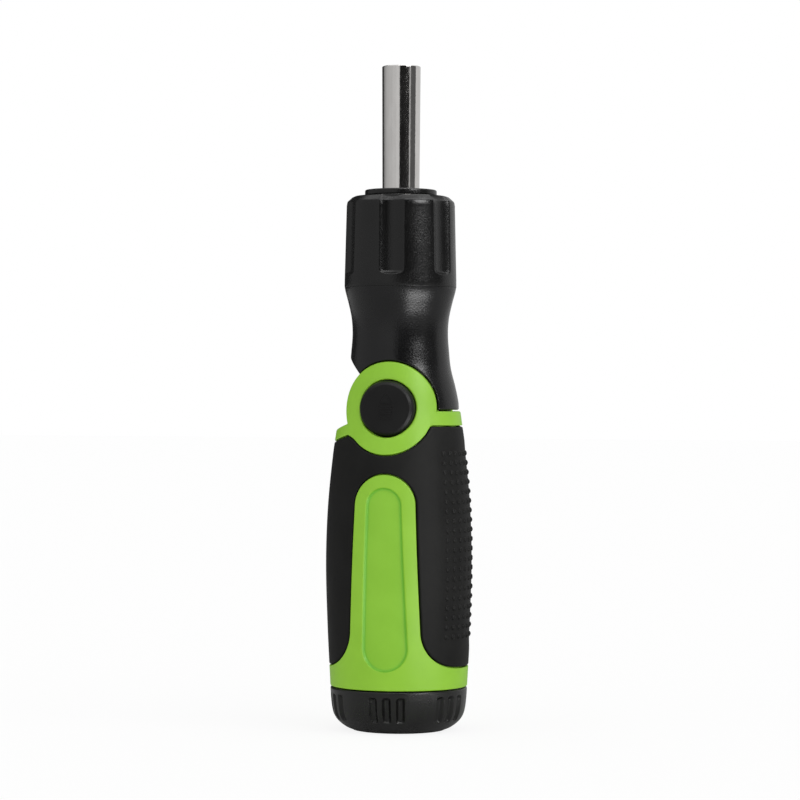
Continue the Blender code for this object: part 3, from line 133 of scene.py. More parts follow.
def join(name, objects):
    """One object from several, under one name."""
    mesh = bpy.data.meshes.new(name)
    work = bmesh.new()
    materials = []
    for obj in objects:
        start = len(work.faces)
        part = obj.data.copy()
        part.transform(obj.matrix_world)
        work.from_mesh(part)
        work.faces.ensure_lookup_table()
        slots = []
        for material in obj.data.materials:
            if material not in materials:
                materials.append(material)
            slots.append(materials.index(material))
        for face in work.faces[start:]:
            face.material_index = slots[face.material_index]
        bpy.data.meshes.remove(part)
    work.to_mesh(mesh)
    work.free()
    for obj in objects:
        bpy.data.objects.remove(obj)
    for material in materials:
        mesh.materials.append(material)
    joined = bpy.data.objects.new(name, mesh)
    bpy.context.scene.collection.objects.link(joined)
    return joined


def grid_faces(rows, columns):
    """Quads of a closed band of points that run column by column within a row."""
    faces = []
    for i in range(rows - 1):
        for j in range(columns):
            k = (j + 1) % columns
            faces.append((i * columns + j, i * columns + k, (i + 1) * columns + k, (i + 1) * columns + j))
    return faces


def lathe(name, rows, material, columns=96, along_y=False, sharp_deg=40.0, shape=None):
    """Surface turned from (radius, height) rows, outer side top to bottom.

    shape(angle, radius, height) may change the radius. Angle 0 is the front, 90 is +X. With along_y
    it turns about the head's pivot, and heights run towards the front.
    """
    angle = np.arange(columns) * 2 * math.pi / columns
    radius = np.repeat(np.array([r[0] for r in rows])[:, None], columns, axis=1)
    height = np.repeat(np.array([r[1] for r in rows])[:, None], columns, axis=1)
    if shape is not None:
        radius = shape(np.repeat(angle[None, :], len(rows), axis=0), radius, height)
    x = radius * np.sin(angle)
    y = -radius * np.cos(angle)
    if along_y:
        points = np.stack([x, -height, PIVOT_Z - y], axis=-1).reshape(-1, 3)
    else:
        points = np.stack([x, y, height], axis=-1).reshape(-1, 3)
    return add_mesh(name, points, grid_faces(len(rows), columns), material, sharp_deg, flip=not along_y)


def rounded(points, radius, steps=5):
    """Polyline with its inner corners rounded; radius may be one number or one for each corner."""
    points = [np.array(p, float) for p in points]
    out = [points[0]]
    for i in range(1, len(points) - 1):
        size = radius[i - 1] if isinstance(radius, (list, tuple)) else radius
        corner = points[i]
        back = points[i - 1] - corner
        ahead = points[i + 1] - corner
        back_length = np.linalg.norm(back)
        ahead_length = np.linalg.norm(ahead)
        back = back / back_length
        ahead = ahead / ahead_length
        half = math.acos(float(np.clip(np.dot(back, ahead), -1, 1))) / 2
        nearly_straight = half > math.radians(89)
        if size <= 0 or nearly_straight:
            out.append(corner)
            continue
        reach = min(size / math.tan(half), 0.49 * back_length, 0.49 * ahead_length)
        start = corner + back * reach
        end = corner + ahead * reach
        for k in range(steps + 1):
            t = k / steps
            out.append((1 - t) ** 2 * start + 2 * t * (1 - t) * corner + t ** 2 * end)
    out.append(points[-1])
    return out


def resample(points, step):
    """Points at even distances along a polyline."""
    points = np.asarray(points, float)
    lengths = np.concatenate([[0.0], np.cumsum(np.linalg.norm(np.diff(points, axis=0), axis=1))])
    count = max(2, int(math.ceil(lengths[-1] / step)) + 1)
    at = np.linspace(0.0, lengths[-1], count)
    return np.stack([np.interp(at, lengths, points[:, k]) for k in (0, 1)], axis=1)


def normals_2d(points):
    """Unit normals to the left of an open polyline."""
    along = np.gradient(points, axis=0)
    along /= np.linalg.norm(along, axis=1)[:, None] + 1e-12
    return np.stack([-along[:, 1], along[:, 0]], axis=1)


def offset(points, distance):
    """Polyline moved to its left."""
    return points + normals_2d(points) * distance


def arc(centre, radius, start_deg, end_deg, count=60):
    """Points on an arc, angles counter-clockwise from +X."""
    angle = np.radians(np.linspace(start_deg, end_deg, count + 1))
    return np.stack([centre[0] + radius * np.cos(angle), centre[1] + radius * np.sin(angle)], axis=1)


def unroll(points, form):
    """(x, z) on a form's front to (arc, z) on its unrolled surface."""
    points = np.asarray(points, float)
    ratio = np.clip(points[:, 0] / form(points[:, 1]), -1.0, 1.0)
    return np.stack([np.arcsin(ratio) * UNROLL, points[:, 1]], axis=1)


def level(z):
    """Front-view line at one height."""
    return lambda x: np.full_like(x, z)


def line_on_form(form, z_of_x, start_deg, end_deg, count=60):
    """Front-view line z(x), unrolled between two angles round the form."""
    angle = np.radians(np.linspace(start_deg, end_deg, count + 1))
    z = np.full_like(angle, PIVOT_Z)
    for _ in range(30):
        z = z_of_x(form(z) * np.sin(angle))
    return np.stack([angle * UNROLL, z], axis=1)


CHUNK = 4000                 # points measured at a time
GRID_CHUNK = 500             # points set against the whole grid at a time
EDGE_STEP = 0.3              # between the points of a patch's edge
ROW_SHARES = (0.12, 0.35, 0.65, 1.0, 1.6)      # rows beside a rounded edge, as shares of its rounding
PLAIN_ROW = 0.4              # distance of the row beside a plain edge
ROW_CLEAR = 0.93             # share of its distance that each point of a row keeps from every edge
GRID_ROW = 0.866             # height of a row of the grid, as a share of its spacing
EDGE_CLEAR = 0.7             # the grid's least distance from the edge, likewise
POINT_CLEAR = 0.55           # and from the points already there
WALL_LEAN = 0.05             # how far a wall leans in under its patch


def segment_distance(points, starts, ends):
    """Least distance from each point to any of the segments."""
    best = np.full(len(points), 1e9)
    along = ends - starts
    length = np.maximum((along ** 2).sum(axis=1), 1e-12)
    for first in range(0, len(points), CHUNK):
        chunk = points[first:first + CHUNK]
        from_start = chunk[:, None, :] - starts[None]
        share = np.clip((from_start * along[None]).sum(axis=2) / length, 0, 1)
        nearest = starts[None] + share[..., None] * along[None]
        best[first:first + CHUNK] = np.linalg.norm(chunk[:, None, :] - nearest, axis=2).min(axis=1)
    return best


def inside(points, starts, ends):
    """Whether each point lies inside closed loops of segments."""
    result = np.zeros(len(points), bool)
    rise = np.where(ends[:, 1] == starts[:, 1], 1e-9, ends[:, 1] - starts[:, 1])
    slope = (ends[:, 0] - starts[:, 0]) / rise
    for first in range(0, len(points), CHUNK):
        chunk = points[first:first + CHUNK]
        crossed = (starts[None, :, 1] > chunk[:, None, 1]) != (ends[None, :, 1] > chunk[:, None, 1])
        x = starts[None, :, 0] + slope[None] * (chunk[:, None, 1] - starts[None, :, 1])
        result[first:first + CHUNK] = (crossed & (chunk[:, None, 0] < x)).sum(axis=1) % 2 == 1
    return result


class Chain:
    """Stretch of a patch's edge: points with the patch on their left, its rounding and its wall."""

    def __init__(self, points, rounding, wall=0.0, along_y=False):
        self.points = resample(points, EDGE_STEP)
        self.rounding = rounding
        self.wall = wall
        self.along_y = along_y


class Outline:
    """Closed loops of chains, as numbered points with the segments between them.

    Each segment holds its two points' numbers, its chain and the normals at its two points.
    """

    def __init__(self, loops):
        self.chains = [chain for loop in loops for chain in loop]
        self.points = []
        self.segments = []
        for loop in loops:
            first = len(self.points)
            for chain in loop:
                start = len(self.points)
                count = len(chain.points) - 1
                self.points.extend(chain.points[:-1].tolist())
                normals = normals_2d(chain.points)
                for k in range(count):
                    closing = chain is loop[-1] and k == count - 1
                    following = first if closing else start + k + 1
                    self.segments.append((start + k, following, chain, normals[k], normals[k + 1]))
        self.starts = np.concatenate([chain.points[:-1] for chain in self.chains])
        self.ends = np.concatenate([chain.points[1:] for chain in self.chains])
        self.roundings = np.concatenate([
            np.full(len(chain.points) - 1, chain.rounding) for chain in self.chains])

    def holds(self, points):
        """Whether each point lies inside the loops."""
        return inside(points, self.starts, self.ends)

    def distance(self, points):
        """Distance from each point to the edge."""
        return segment_distance(points, self.starts, self.ends)

    def rounding_depth(self, points):
        """How far the rounded edge lies below the form at each point."""
        deep = np.zeros(len(points))
        for rounding in sorted(set(self.roundings)):
            if rounding <= 0:
                continue
            alike = self.roundings == rounding
            distance = segment_distance(points, self.starts[alike], self.ends[alike])
            short = np.clip(rounding - distance, 0, rounding)
            deep = np.maximum(deep, rounding - np.sqrt(np.maximum(rounding ** 2 - short ** 2, 0)))
        return deep

    def edge_rows(self):
        """Rows of points beside the edge, close together where it is rounded."""
        rows = []
        for chain in self.chains:
            distances = [PLAIN_ROW]
            if chain.rounding > 0:
                distances = [share * chain.rounding for share in ROW_SHARES]
            for away in distances:
                row = offset(chain.points, away)
                keep = self.holds(row) & (self.distance(row) > ROW_CLEAR * away)
                rows.append(row[keep])
        return rows

    def filling(self, spacing, taken):
        """Even grid of points inside the loops, clear of the edge and of the taken points."""
        low = self.starts.min(axis=0)
        high = self.starts.max(axis=0)
        xs = np.arange(low[0], high[0], spacing)
        ys = np.arange(low[1], high[1], spacing * GRID_ROW)
        grid = np.array([(x + (spacing / 2 if i % 2 else 0), y) for i, y in enumerate(ys) for x in xs])
        grid = grid[self.holds(grid)]
        grid = grid[self.distance(grid) > EDGE_CLEAR * spacing]
        clear = np.ones(len(grid), bool)
        for first in range(0, len(taken), GRID_CHUNK):
            chunk = taken[first:first + GRID_CHUNK]
            distance = np.linalg.norm(grid[:, None] - chunk[None], axis=2).min(axis=1)
            clear &= distance > POINT_CLEAR * spacing
        return grid[clear]


def patch(name, loops, form, material, spacing=0.9, lines=(), depth=None, back=False, values=None):
    """Curved patch of a form, with rounded edges and walls, from loops of chains.

    lines are polylines that the mesh follows, depth(points) is a further depth, and
    values(points) is kept as the attribute "zone".
    """
    outline = Outline(loops)
    taken = np.concatenate(outline.edge_rows() + [np.asarray(line) for line in lines])
    everything = outline.points + taken.tolist() + outline.filling(spacing, taken).tolist()
    edges = [segment[:2] for segment in outline.segments]
    flat, _, faces, origins, _, _ = delaunay_2d_cdt([Vector(p) for p in everything], edges, [], 0, 1e-5)
    flat = np.array([(v.x, v.y) for v in flat])
    triangles = np.array([f for f in faces if len(f) == 3])
    triangles = triangles[outline.holds(flat[triangles].mean(axis=1))]
    place = {old: new for new, olds in enumerate(origins) for old in olds}
    deep = outline.rounding_depth(flat)
    if depth is not None:
        deep = deep + depth(flat)
    side = 1.0 if back else -1.0

    def solid(points, below):
        angle = points[:, 0] / UNROLL
        radius = form(points[:, 1]) - below
        return np.stack([radius * np.sin(angle), side * radius * np.cos(angle), points[:, 1]], axis=1)

    points = solid(flat, deep)
    faces = [tuple(triangle) for triangle in triangles]
    feet = []
    foot_of = {}
    for first, second, chain, first_normal, second_normal in outline.segments:
        if chain.wall <= 0:
            continue
        for index, normal in ((first, first_normal), (second, second_normal)):
            if (index, chain) in foot_of:
                continue
            source = place[index]
            moved = flat[source] + normal * WALL_LEAN
            if chain.along_y:
                foot = solid(moved[None], deep[source:source + 1])[0]
                foot[1] -= side * chain.wall
            else:
                foot = solid(moved[None], deep[source:source + 1] + chain.wall)[0]
            foot_of[index, chain] = len(points) + len(feet)
            feet.append(foot)
        faces.append((place[second], place[first], foot_of[first, chain], foot_of[second, chain]))
    points = np.concatenate([points, np.array(feet)])
    obj = add_mesh(name, points, faces, material, 50.0, flip=back)
    if values is not None:
        coords = np.array([v.co for v in obj.data.vertices]) / MM
        angle = np.arctan2(coords[:, 0], side * coords[:, 1])
        painted_shade = values(np.stack([angle * UNROLL, coords[:, 2]], axis=1))
        attribute = obj.data.attributes.new("painted_shade", "FLOAT", "POINT")
        attribute.data.foreach_set("value", painted_shade.astype(np.float32))
    return obj


def inner_copy(name, node, form, below, material, low=-1e9, high=1e9):
    """The frame's own solid, drawn in by a depth under the form between two heights."""
    source = frame["nodes"][node]
    mesh = source.data.copy()
    points = np.array([source.matrix_world @ v.co for v in mesh.vertices]) / MM
    radius = np.hypot(points[:, 0], points[:, 1])
    limit = form(points[:, 2]) - below
    draw = (radius > limit) & (points[:, 2] > low) & (points[:, 2] < high)
    scale = np.where(draw, limit / np.maximum(radius, 1e-6), 1.0)
    points[:, 0] *= scale
    points[:, 1] *= scale
    mesh.vertices.foreach_set("co", (points * MM).astype(np.float32).ravel())
    mesh.materials.clear()
    mesh.materials.append(material)
    weld(mesh, 1e-6)
    for polygon in mesh.polygons:
        polygon.material_index = 0
    mesh.shade_smooth()
    mesh.set_sharp_from_angle(angle=math.radians(28))
    obj = bpy.data.objects.new(name, mesh)
    bpy.context.scene.collection.objects.link(obj)
    return obj


dressed = set()              # nodes of the frame that a shown piece stands for


def place_piece(obj, node, body):
    """The piece stands for a CAD node and moves with its body."""
    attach(obj, body)
    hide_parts(node)
    dressed.add(node)


# Materials

WHITE = (1.0, 1.0, 1.0, 1.0)
MIX_A = 6                    # number of a mix node's input for its first colour
MIX_B = 7                    # and for its second
MIX_RESULT = 2               # number of its output for the colour


def linear(*rgb):
    """Linear colour from 8-bit screen values."""
    shares = [value / 255 for value in rgb]
    return tuple(
        share / 12.92 if share <= 0.04045 else ((share + 0.055) / 1.055) ** 2.4 for share in shares) + (1.0,)


def add_node(tree, kind, inputs=None, operation=None, data_type=None):
    """New shader node; its inputs are values, or the outputs that feed them."""
    node = tree.nodes.new("ShaderNode" + kind)
    if operation:
        node.operation = operation
    if data_type:
        node.data_type = data_type
    for socket, value in (inputs or {}).items():
        if isinstance(value, bpy.types.NodeSocket):
            tree.links.new(value, node.inputs[socket])
        else:
            node.inputs[socket].default_value = value
    return node


def make_material(name, colours, roughness, metallic=0.0, grain=4000.0, bump=0.004, blotch=120.0,
                  stretch=(1.0, 1.0, 1.0), painted_shade_colour=None, specular=0.5):
    """Procedural material: two colours in broad blotches, and a fine grain in roughness and bump.

    colours and roughness are pairs, grain and blotch are per metre, bump is in millimetres. Where the
    attribute "zone" is above 0, painted_shade_colour multiplies painted shade into the colour.
    """
    material = bpy.data.materials.new(name)
    material.use_nodes = True
    tree = material.node_tree
    place = add_node(tree, "TexCoord")
    mapping = add_node(tree, "Mapping", {"Vector": place.outputs["Object"], "Scale": stretch})
    at = mapping.outputs["Vector"]
    broad = add_node(tree, "TexNoise", {"Vector": at, "Scale": blotch, "Detail": 3.0}).outputs["Fac"]
    fine = add_node(tree, "TexNoise", {"Vector": at, "Scale": grain, "Detail": 3.0}).outputs["Fac"]
    ramp = add_node(tree, "ValToRGB", {"Fac": broad})
    low, high = ramp.color_ramp.elements
    low.position = 0.35
    low.color = colours[0]
    high.position = 0.65
    high.color = colours[1]
    colour = ramp.outputs["Color"]
    if painted_shade_colour:
        painted_shade = add_node(tree, "Attribute")
        painted_shade.attribute_name = "painted_shade"
        # Painted shade: the colour is darkened by multiplying where the point attribute marks it.
        painted_shade_mix = add_node(
            tree, "Mix", {"Factor": painted_shade.outputs["Fac"], MIX_A: colour, MIX_B: painted_shade_colour}, data_type="RGBA")
        painted_shade_mix.blend_type = "MULTIPLY"
        colour = painted_shade_mix.outputs[MIX_RESULT]
    blend = add_node(tree, "Mix", {0: 0.5, 2: broad, 3: fine}, data_type="FLOAT")
    spread = add_node(tree, "MapRange", {
        "Value": blend.outputs[0], "From Min": 0.3, "From Max": 0.7, "To Min": roughness[0],
        "To Max": roughness[1]})
    relief = add_node(tree, "Bump", {"Strength": 1.0, "Distance": bump * MM, "Height": fine})
    shader = tree.nodes["Principled BSDF"]
    shader.inputs["Metallic"].default_value = metallic
    shader.inputs["Specular IOR Level"].default_value = specular
    tree.links.new(colour, shader.inputs["Base Color"])
    tree.links.new(spread.outputs["Result"], shader.inputs["Roughness"])
    tree.links.new(relief.outputs["Normal"], shader.inputs["Normal"])
    return material


# The green carries painted shade in the sunk stadium, darkest on its wall.
green = make_material(
    "moulded_green", (linear(147, 205, 51), linear(152, 210, 55)), (0.36, 0.48), bump=0.003,
    painted_shade_colour=(0.62, 0.88, 1.0, 1.0), specular=0.35)
rubber = make_material(
    "soft_black", (linear(21, 21, 20), linear(26, 26, 25)), (0.5, 0.66), grain=5200.0, bump=0.012,
    specular=0.16)
gloss_black = make_material(
    "gloss_black", (linear(12, 12, 13), linear(16, 16, 17)), (0.18, 0.32), grain=2400.0, bump=0.04,
    specular=0.45)
satin_black = make_material(
    "satin_black", (linear(12, 12, 12), linear(16, 16, 16)), (0.2, 0.32), grain=2400.0, bump=0.05,
    specular=0.45)
cap_black = make_material(
    "cap_black", (linear(17, 17, 16), linear(23, 23, 22)), (0.24, 0.36), grain=2200.0, bump=0.018,
    specular=0.5)
button_black = make_material(
    "button_black", (linear(17, 17, 17), linear(21, 21, 21)), (0.36, 0.48), grain=3500.0, bump=0.006,
    specular=0.24)
chrome = make_material(
    "polished_chrome", ((0.82, 0.8, 0.78, 1.0), (0.88, 0.86, 0.84, 1.0)), (0.07, 0.14), metallic=1.0,
    grain=3200.0, bump=0.006, stretch=(1.0, 1.0, 0.3), blotch=500.0)
steel = make_material(
    "plain_steel", ((0.45, 0.45, 0.46, 1.0), (0.56, 0.56, 0.57, 1.0)), (0.28, 0.42), metallic=1.0,
    grain=3000.0, bump=0.004, blotch=400.0)
bronze = make_material(
    "sintered_bronze", ((0.48, 0.31, 0.14, 1.0), (0.6, 0.4, 0.2, 1.0)), (0.4, 0.6), metallic=1.0,
    grain=5000.0, bump=0.01, blotch=600.0)


# Handle

PARTING = math.radians(90) * UNROLL    # unrolled distance from the front to the parting line


def fixed_ends(points, start, end):
    """Polyline with its ends put on the parting lines."""
    points = points.copy()
    points[0, 0] = start
    points[-1, 0] = end
    return points


def on_handle(points):
    """Front-view polyline, unrolled on the handle."""
    return unroll(resample(points, 0.08), handle_form)


ring_start = math.degrees(math.asin((RIGHT_SHOULDER_Z - PIVOT_Z) / RING_RADIUS))
ring_line = unroll(arc((0, PIVOT_Z), RING_RADIUS, ring_start, 90 + SHOULDER_DEG, 240), handle_form)
left_slope = math.tan(math.radians(SHOULDER_DEG - 90))
right_shoulder = line_on_form(
    handle_form, level(RIGHT_SHOULDER_Z), 90.0, math.degrees(ring_line[0, 0] / UNROLL))
left_shoulder = line_on_form(
    handle_form, lambda x: PIVOT_Z + left_slope * x, math.degrees(ring_line[-1, 0] / UNROLL), -90.0)

# Lower edge of the green ring and its webs, from left to right
WEB_LEFT_Z = 77.6
WEB_RIGHT_Z = 82.1
UNDER_RADIUS = 12.25
left_web = rounded([(-17.8, WEB_LEFT_Z), (-11.3, 79.6), (-9.5, 78.6), (-8.75, 78.0)], (1.6, 0.8))
right_web = rounded([(10.22, 79.83), (11.35, 82.2), (17.4, WEB_RIGHT_Z)], 1.1)
under_ring = np.concatenate([
    np.array(left_web), arc((0, PIVOT_Z), UNDER_RADIUS, 225.5, 325.0, 100), np.array(right_web)])
under_ring = fixed_ends(on_handle(under_ring), -PARTING, PARTING)
under_ring[-1, 1] = WEB_RIGHT_Z

# Outline of the green panel, from the right silhouette over the arch to the left one
BAND_Z = 17.3
ARCH_Z = 60.8
ARCH_RADIUS = 8.3
flare = [
    (9.6 + 9.3 * (1 - math.cos(a)), 27.7 - 10.4 * math.sin(a)) for a in np.linspace(math.pi / 2, 0, 30)]
half_panel = [(19.2, BAND_Z)] + flare
arch = arc((0, ARCH_Z), ARCH_RADIUS, 0, 180, 50).tolist()
panel = np.array(half_panel + arch + [(-x, z) for x, z in reversed(half_panel)])
panel = fixed_ends(on_handle(panel), PARTING, -PARTING)

# Sunk stadium in the panel, wider below than above
RECESS_DEPTH = 0.8
recess = np.concatenate([
    arc((-0.1, ARCH_Z), 4.95, 0, 180, 50), arc((0.25, 23.1), 6.3, 180, 360, 50)])
recess = on_handle(np.concatenate([recess, recess[:1]]))

# Wells of the shell screws in the back half: distance from the middle, height
UPPER_SCREW = (11.0, 67.2)
LOWER_SCREW = (15.6, 14.8)
SCREW_WELL_RADIUS = 2.2


def screw_wells(place, wall):
    """Loops of a pair of wells, one on each side of the middle."""
    loops = []
    for side in (-1, 1):
        rim = arc((side * place[0], place[1]), SCREW_WELL_RADIUS, 360, 0, 48)
        loops.append([Chain(unroll(rim, handle_form), 0.25, wall, along_y=True)])
    return loops


def recess_distance(points):
    """Distance from the recess's outline, positive inside it."""
    distance = segment_distance(points, recess[:-1], recess[1:])
    return np.where(inside(points, recess[:-1], recess[1:]), distance, -distance)


def recess_depth(points):
    """How far the recess sinks in, with a soft step at its outline."""
    return RECESS_DEPTH * smoothstep((recess_distance(points) + 0.05) / 0.5)


def recess_painted_shade(points):
    """Share of the painted shade in the recess: full on its wall, a fifth on its floor."""
    distance = recess_distance(points)
    wall = smoothstep((distance + 0.02) / 0.2) * smoothstep((0.85 - distance) / 0.4)
    return 0.8 * wall + 0.2 * smoothstep((distance - 0.1) / 0.3)


def side_line(angle, low, high):
    """Upright line between two heights."""
    return np.array([(angle, low), (angle, high)])


def ring_patch(name, hole_radius, back):
    """Green ring cheek with its webs, round a hole."""
    loop = [
        Chain(side_line(PARTING, WEB_RIGHT_Z, RIGHT_SHOULDER_Z), 0.12, 0.8),
        Chain(right_shoulder, 0.45, 2.0),
        Chain(ring_line, 0.45, 2.2, along_y=True),
        Chain(left_shoulder, 0.45, 2.0),
        Chain(side_line(-PARTING, left_shoulder[-1, 1], WEB_LEFT_Z), 0.12, 0.8),
        Chain(under_ring, 0.25, 1.2),
    ]
    rim = unroll(arc((0, PIVOT_Z), hole_radius, 360, 0, 120), handle_form)
    hole = [Chain(rim, 0.4, 3.0, along_y=True)]
    return patch(name, [loop, hole], handle_form, green, 0.8, back=back)


def panel_patch(name, back):
    """Green panel with its sunk stadium, and the band below it."""
    loop = [
        Chain(side_line(PARTING, SEAM_Z, BAND_Z), 0.12, 0.8),
        Chain(panel, 0.25, 1.2),
        Chain(side_line(-PARTING, BAND_Z, SEAM_Z), 0.12, 0.8),
        Chain(line_on_form(handle_form, level(SEAM_Z), -90.0, 90.0), 0.3, 2.0),
    ]
    loops = [loop]
    if back:
        loops += screw_wells(LOWER_SCREW, 2.0)
    steps = (-0.25, -0.05, 0.07, 0.2, 0.33, 0.45, 0.65, 1.0)
    lines = [offset(resample(recess, EDGE_STEP), step) for step in steps]
    # The sunk stadium's points carry their share of painted shade.
    return patch(name, loops, handle_form, green, 0.9, lines, recess_depth, back, recess_painted_shade)


NUB_HEIGHT = 0.42
NUB_RADIUS = 0.78
NUB_BED = 0.25             # how far the field between the nubs lies in
NUB_FOOT = 0.06            # how far a dome's rim reaches under the field
NUB_ROWS = 20
NUB_ROW_PITCH = 2.57
NUB_LOW_Z = 25.9           # height of the lowest row
NUB_COLUMNS = 5
NUB_COLUMN_DEG = 8         # between the columns
NUB_FIRST_DEG = 4          # from the parting line to the first column
NUB_RINGS = (0.0, 0.4, 0.7, 0.9, 1.0)
NUB_SEGMENTS = 12
WIDEST = float(handle_form(45.0)) + 0.01       # no nub stands out past the handle's widest place


def nub_field(points):
    """How fully the nubs stand at a place, from 0 to 1."""
    angle = np.degrees(points[:, 0] / UNROLL)
    height = points[:, 1]
    return smoothstep((angle - 44) / 12) * smoothstep((height - 21) / 5) * smoothstep((79 - height) / 5)


def grip_patch(name, back):
    """Soft bed of the grip between the ring and the panel."""
    top = fixed_ends(offset(under_ring[::-1], GAP), PARTING, -PARTING)
    bottom = fixed_ends(offset(panel[::-1], GAP), -PARTING, PARTING)
    loop = [
        Chain(side_line(PARTING, bottom[-1, 1], top[0, 1]), 0.12, 0.9),
        Chain(top, 0.45, 0.9),
        Chain(side_line(-PARTING, top[-1, 1], bottom[0, 1]), 0.12, 0.9),
        Chain(bottom, 0.45, 0.9),
    ]
    loops = [loop]
    if back:
        loops += screw_wells(UPPER_SCREW, 2.0)
    return patch(
        name, loops, handle_form, rubber, 1.0, depth=lambda points: NUB_BED * nub_field(points), back=back)


def nub_dome(angle, z, grown, side):
    """Points of one dome, ring by ring from its tip."""
    points = []
    for share in NUB_RINGS:
        for k in range(NUB_SEGMENTS if share > 0 else 1):
            turn = 2 * math.pi * k / NUB_SEGMENTS
            at_z = z + NUB_RADIUS * share * math.sin(turn)
            surface = float(handle_form(at_z))
            at = angle + NUB_RADIUS * share * math.cos(turn) / surface
            rise = NUB_HEIGHT * grown * (math.cos(share * math.pi / 2) ** 0.8 if share < 1 else 0.0)
            radius = min(surface - NUB_BED * grown + rise, WIDEST) - (NUB_FOOT if share == 1.0 else 0.0)
            points.append((radius * math.sin(at), side * radius * math.cos(at), at_z))
    return points


def nub_faces(start):
    """Faces of one dome whose points begin at a number."""
    faces = []
    for k in range(NUB_SEGMENTS):
        n = (k + 1) % NUB_SEGMENTS
        faces.append((start, start + 1 + k, start + 1 + n))
        for ring in range(len(NUB_RINGS) - 2):
            inner = start + 1 + ring * NUB_SEGMENTS
            outer = inner + NUB_SEGMENTS
            faces.append((inner + k, outer + k, outer + n, inner + n))
    return faces


def nubs(name, back):
    """Rows of small domes on one half of the right-hand side."""
    side = 1.0 if back else -1.0
    vertices = []
    faces = []
    for row in range(NUB_ROWS):
        z = NUB_LOW_Z + NUB_ROW_PITCH * row
        for column in range(NUB_COLUMNS):
            angle = math.radians(90 - NUB_FIRST_DEG - NUB_COLUMN_DEG * column)
            grown = float(nub_field(np.array([[angle * UNROLL, z]]))[0])
            if grown < 0.05:
                continue
            faces += nub_faces(len(vertices))
            vertices += nub_dome(angle, z, grown, side)
    return add_mesh(name, vertices, faces, rubber, 60.0, flip=back)


COVER_HOLE_RADIUS = 9.7      # hole in the back cheek, round the cover
SHELL_CORE_DEPTH = 1.35      # how far the shell's own solid is drawn in under its skin
CORE_FOOT_Z = SEAM_Z + 0.06  # the inner part stands just clear of the skin's foot


for half, hole in (("front", BUTTON_RADIUS + GAP), ("back", COVER_HOLE_RADIUS)):
    back = half == "back"
    node = "handle_shell_" + half
    core = inner_copy(node + "_core", node, handle_form, SHELL_CORE_DEPTH, green, low=SEAM_Z - 0.5)
    for vertex in core.data.vertices:
        if vertex.co.z < (SEAM_Z + 0.02) * MM:
            vertex.co.z = CORE_FOOT_Z * MM
    shell = join(node + "_shown", [
        core, ring_patch("ring_" + half, hole, back), panel_patch("panel_" + half, back)])
    place_piece(shell, node, "handle")
    grip = join("grip_" + half + "_shown", [grip_patch("grip_bed_" + half, back), nubs("nubs_" + half, back)])
    place_piece(grip, "grip_" + half, "handle")


# Neck

NECK_TOP_Z = COLLAR_Z - 0.03      # the neck's rim reaches close up to the collar
NECK_FOOT_Z = PIVOT_Z - GAP
NECK_ARC = RING_RADIUS + GAP
NECK_CORE_DEPTH = 0.95            # how far the neck's own solid is drawn in under its skin
cut_slope = math.tan(math.radians(90 - NECK_CUT_DEG))
foot_deg = math.degrees(math.asin((NECK_FOOT_Z - PIVOT_Z) / NECK_ARC))
neck_arc = unroll(arc((0, PIVOT_Z), NECK_ARC, 90 + NECK_CUT_DEG, foot_deg, 200), neck_form)
neck_cut = line_on_form(
    neck_form, lambda x: PIVOT_Z + cut_slope * np.abs(x), -90.0, math.degrees(neck_arc[0, 0] / UNROLL))
neck_foot = line_on_form(
    neck_form, level(NECK_FOOT_Z), math.degrees(neck_arc[-1, 0] / UNROLL), 90.0)


def neck_patch(name, back):
    """Skin of the neck, from the handle's shoulder to its rim below the collar."""
    loop = [
        Chain(neck_foot, 0.45, 2.0),
        Chain(side_line(PARTING, NECK_FOOT_Z, NECK_TOP_Z), 0.0),
        Chain(line_on_form(neck_form, level(NECK_TOP_Z), 90.0, -90.0), 0.05, 2.5),
        Chain(side_line(-PARTING, NECK_TOP_Z, neck_cut[0, 1]), 0.0),
        Chain(neck_cut, 0.5, 3.0),
        Chain(neck_arc, 0.35, 3.5, along_y=True),
    ]
    return patch(name, [loop], neck_form, gloss_black, 0.8, back=back)


neck = join("neck_housing_shown", [
    inner_copy("neck_core", "neck_housing", neck_form, NECK_CORE_DEPTH, gloss_black),
    neck_patch("neck_front", False), neck_patch("neck_back", True)])
weld(neck.data, 1e-5)
neck.data.set_sharp_from_angle(angle=math.radians(45))
place_piece(neck, "neck_housing", "head")


# Selector collar, nose ring, bit holder

FLUTES = 6
FLUTE_HALF_WIDTH = 3.3
FLUTE_DEPTH = 1.15
FLUTE_BOTTOM_Z = 122.4
FLUTE_END = 1.5              # height of the rounded lower end
FLUTE_SOFT = 0.07            # softness of the rim
FLUTE_FLOOR = 12.55          # least radius that a flute leaves
COLLAR_TURN = math.radians(3.0)
COLLAR_BORE = 12.1           # radius of the bore over the ratchet barrel
COLLAR_LIP_BORE = 8.3        # radius of the hole in the collar's lip
COLLAR_LIP_Z = BARREL_TOP_Z + 0.45
SIDE_RADIUS = 12.6           # rows of a turned piece beyond this radius belong to its outer side


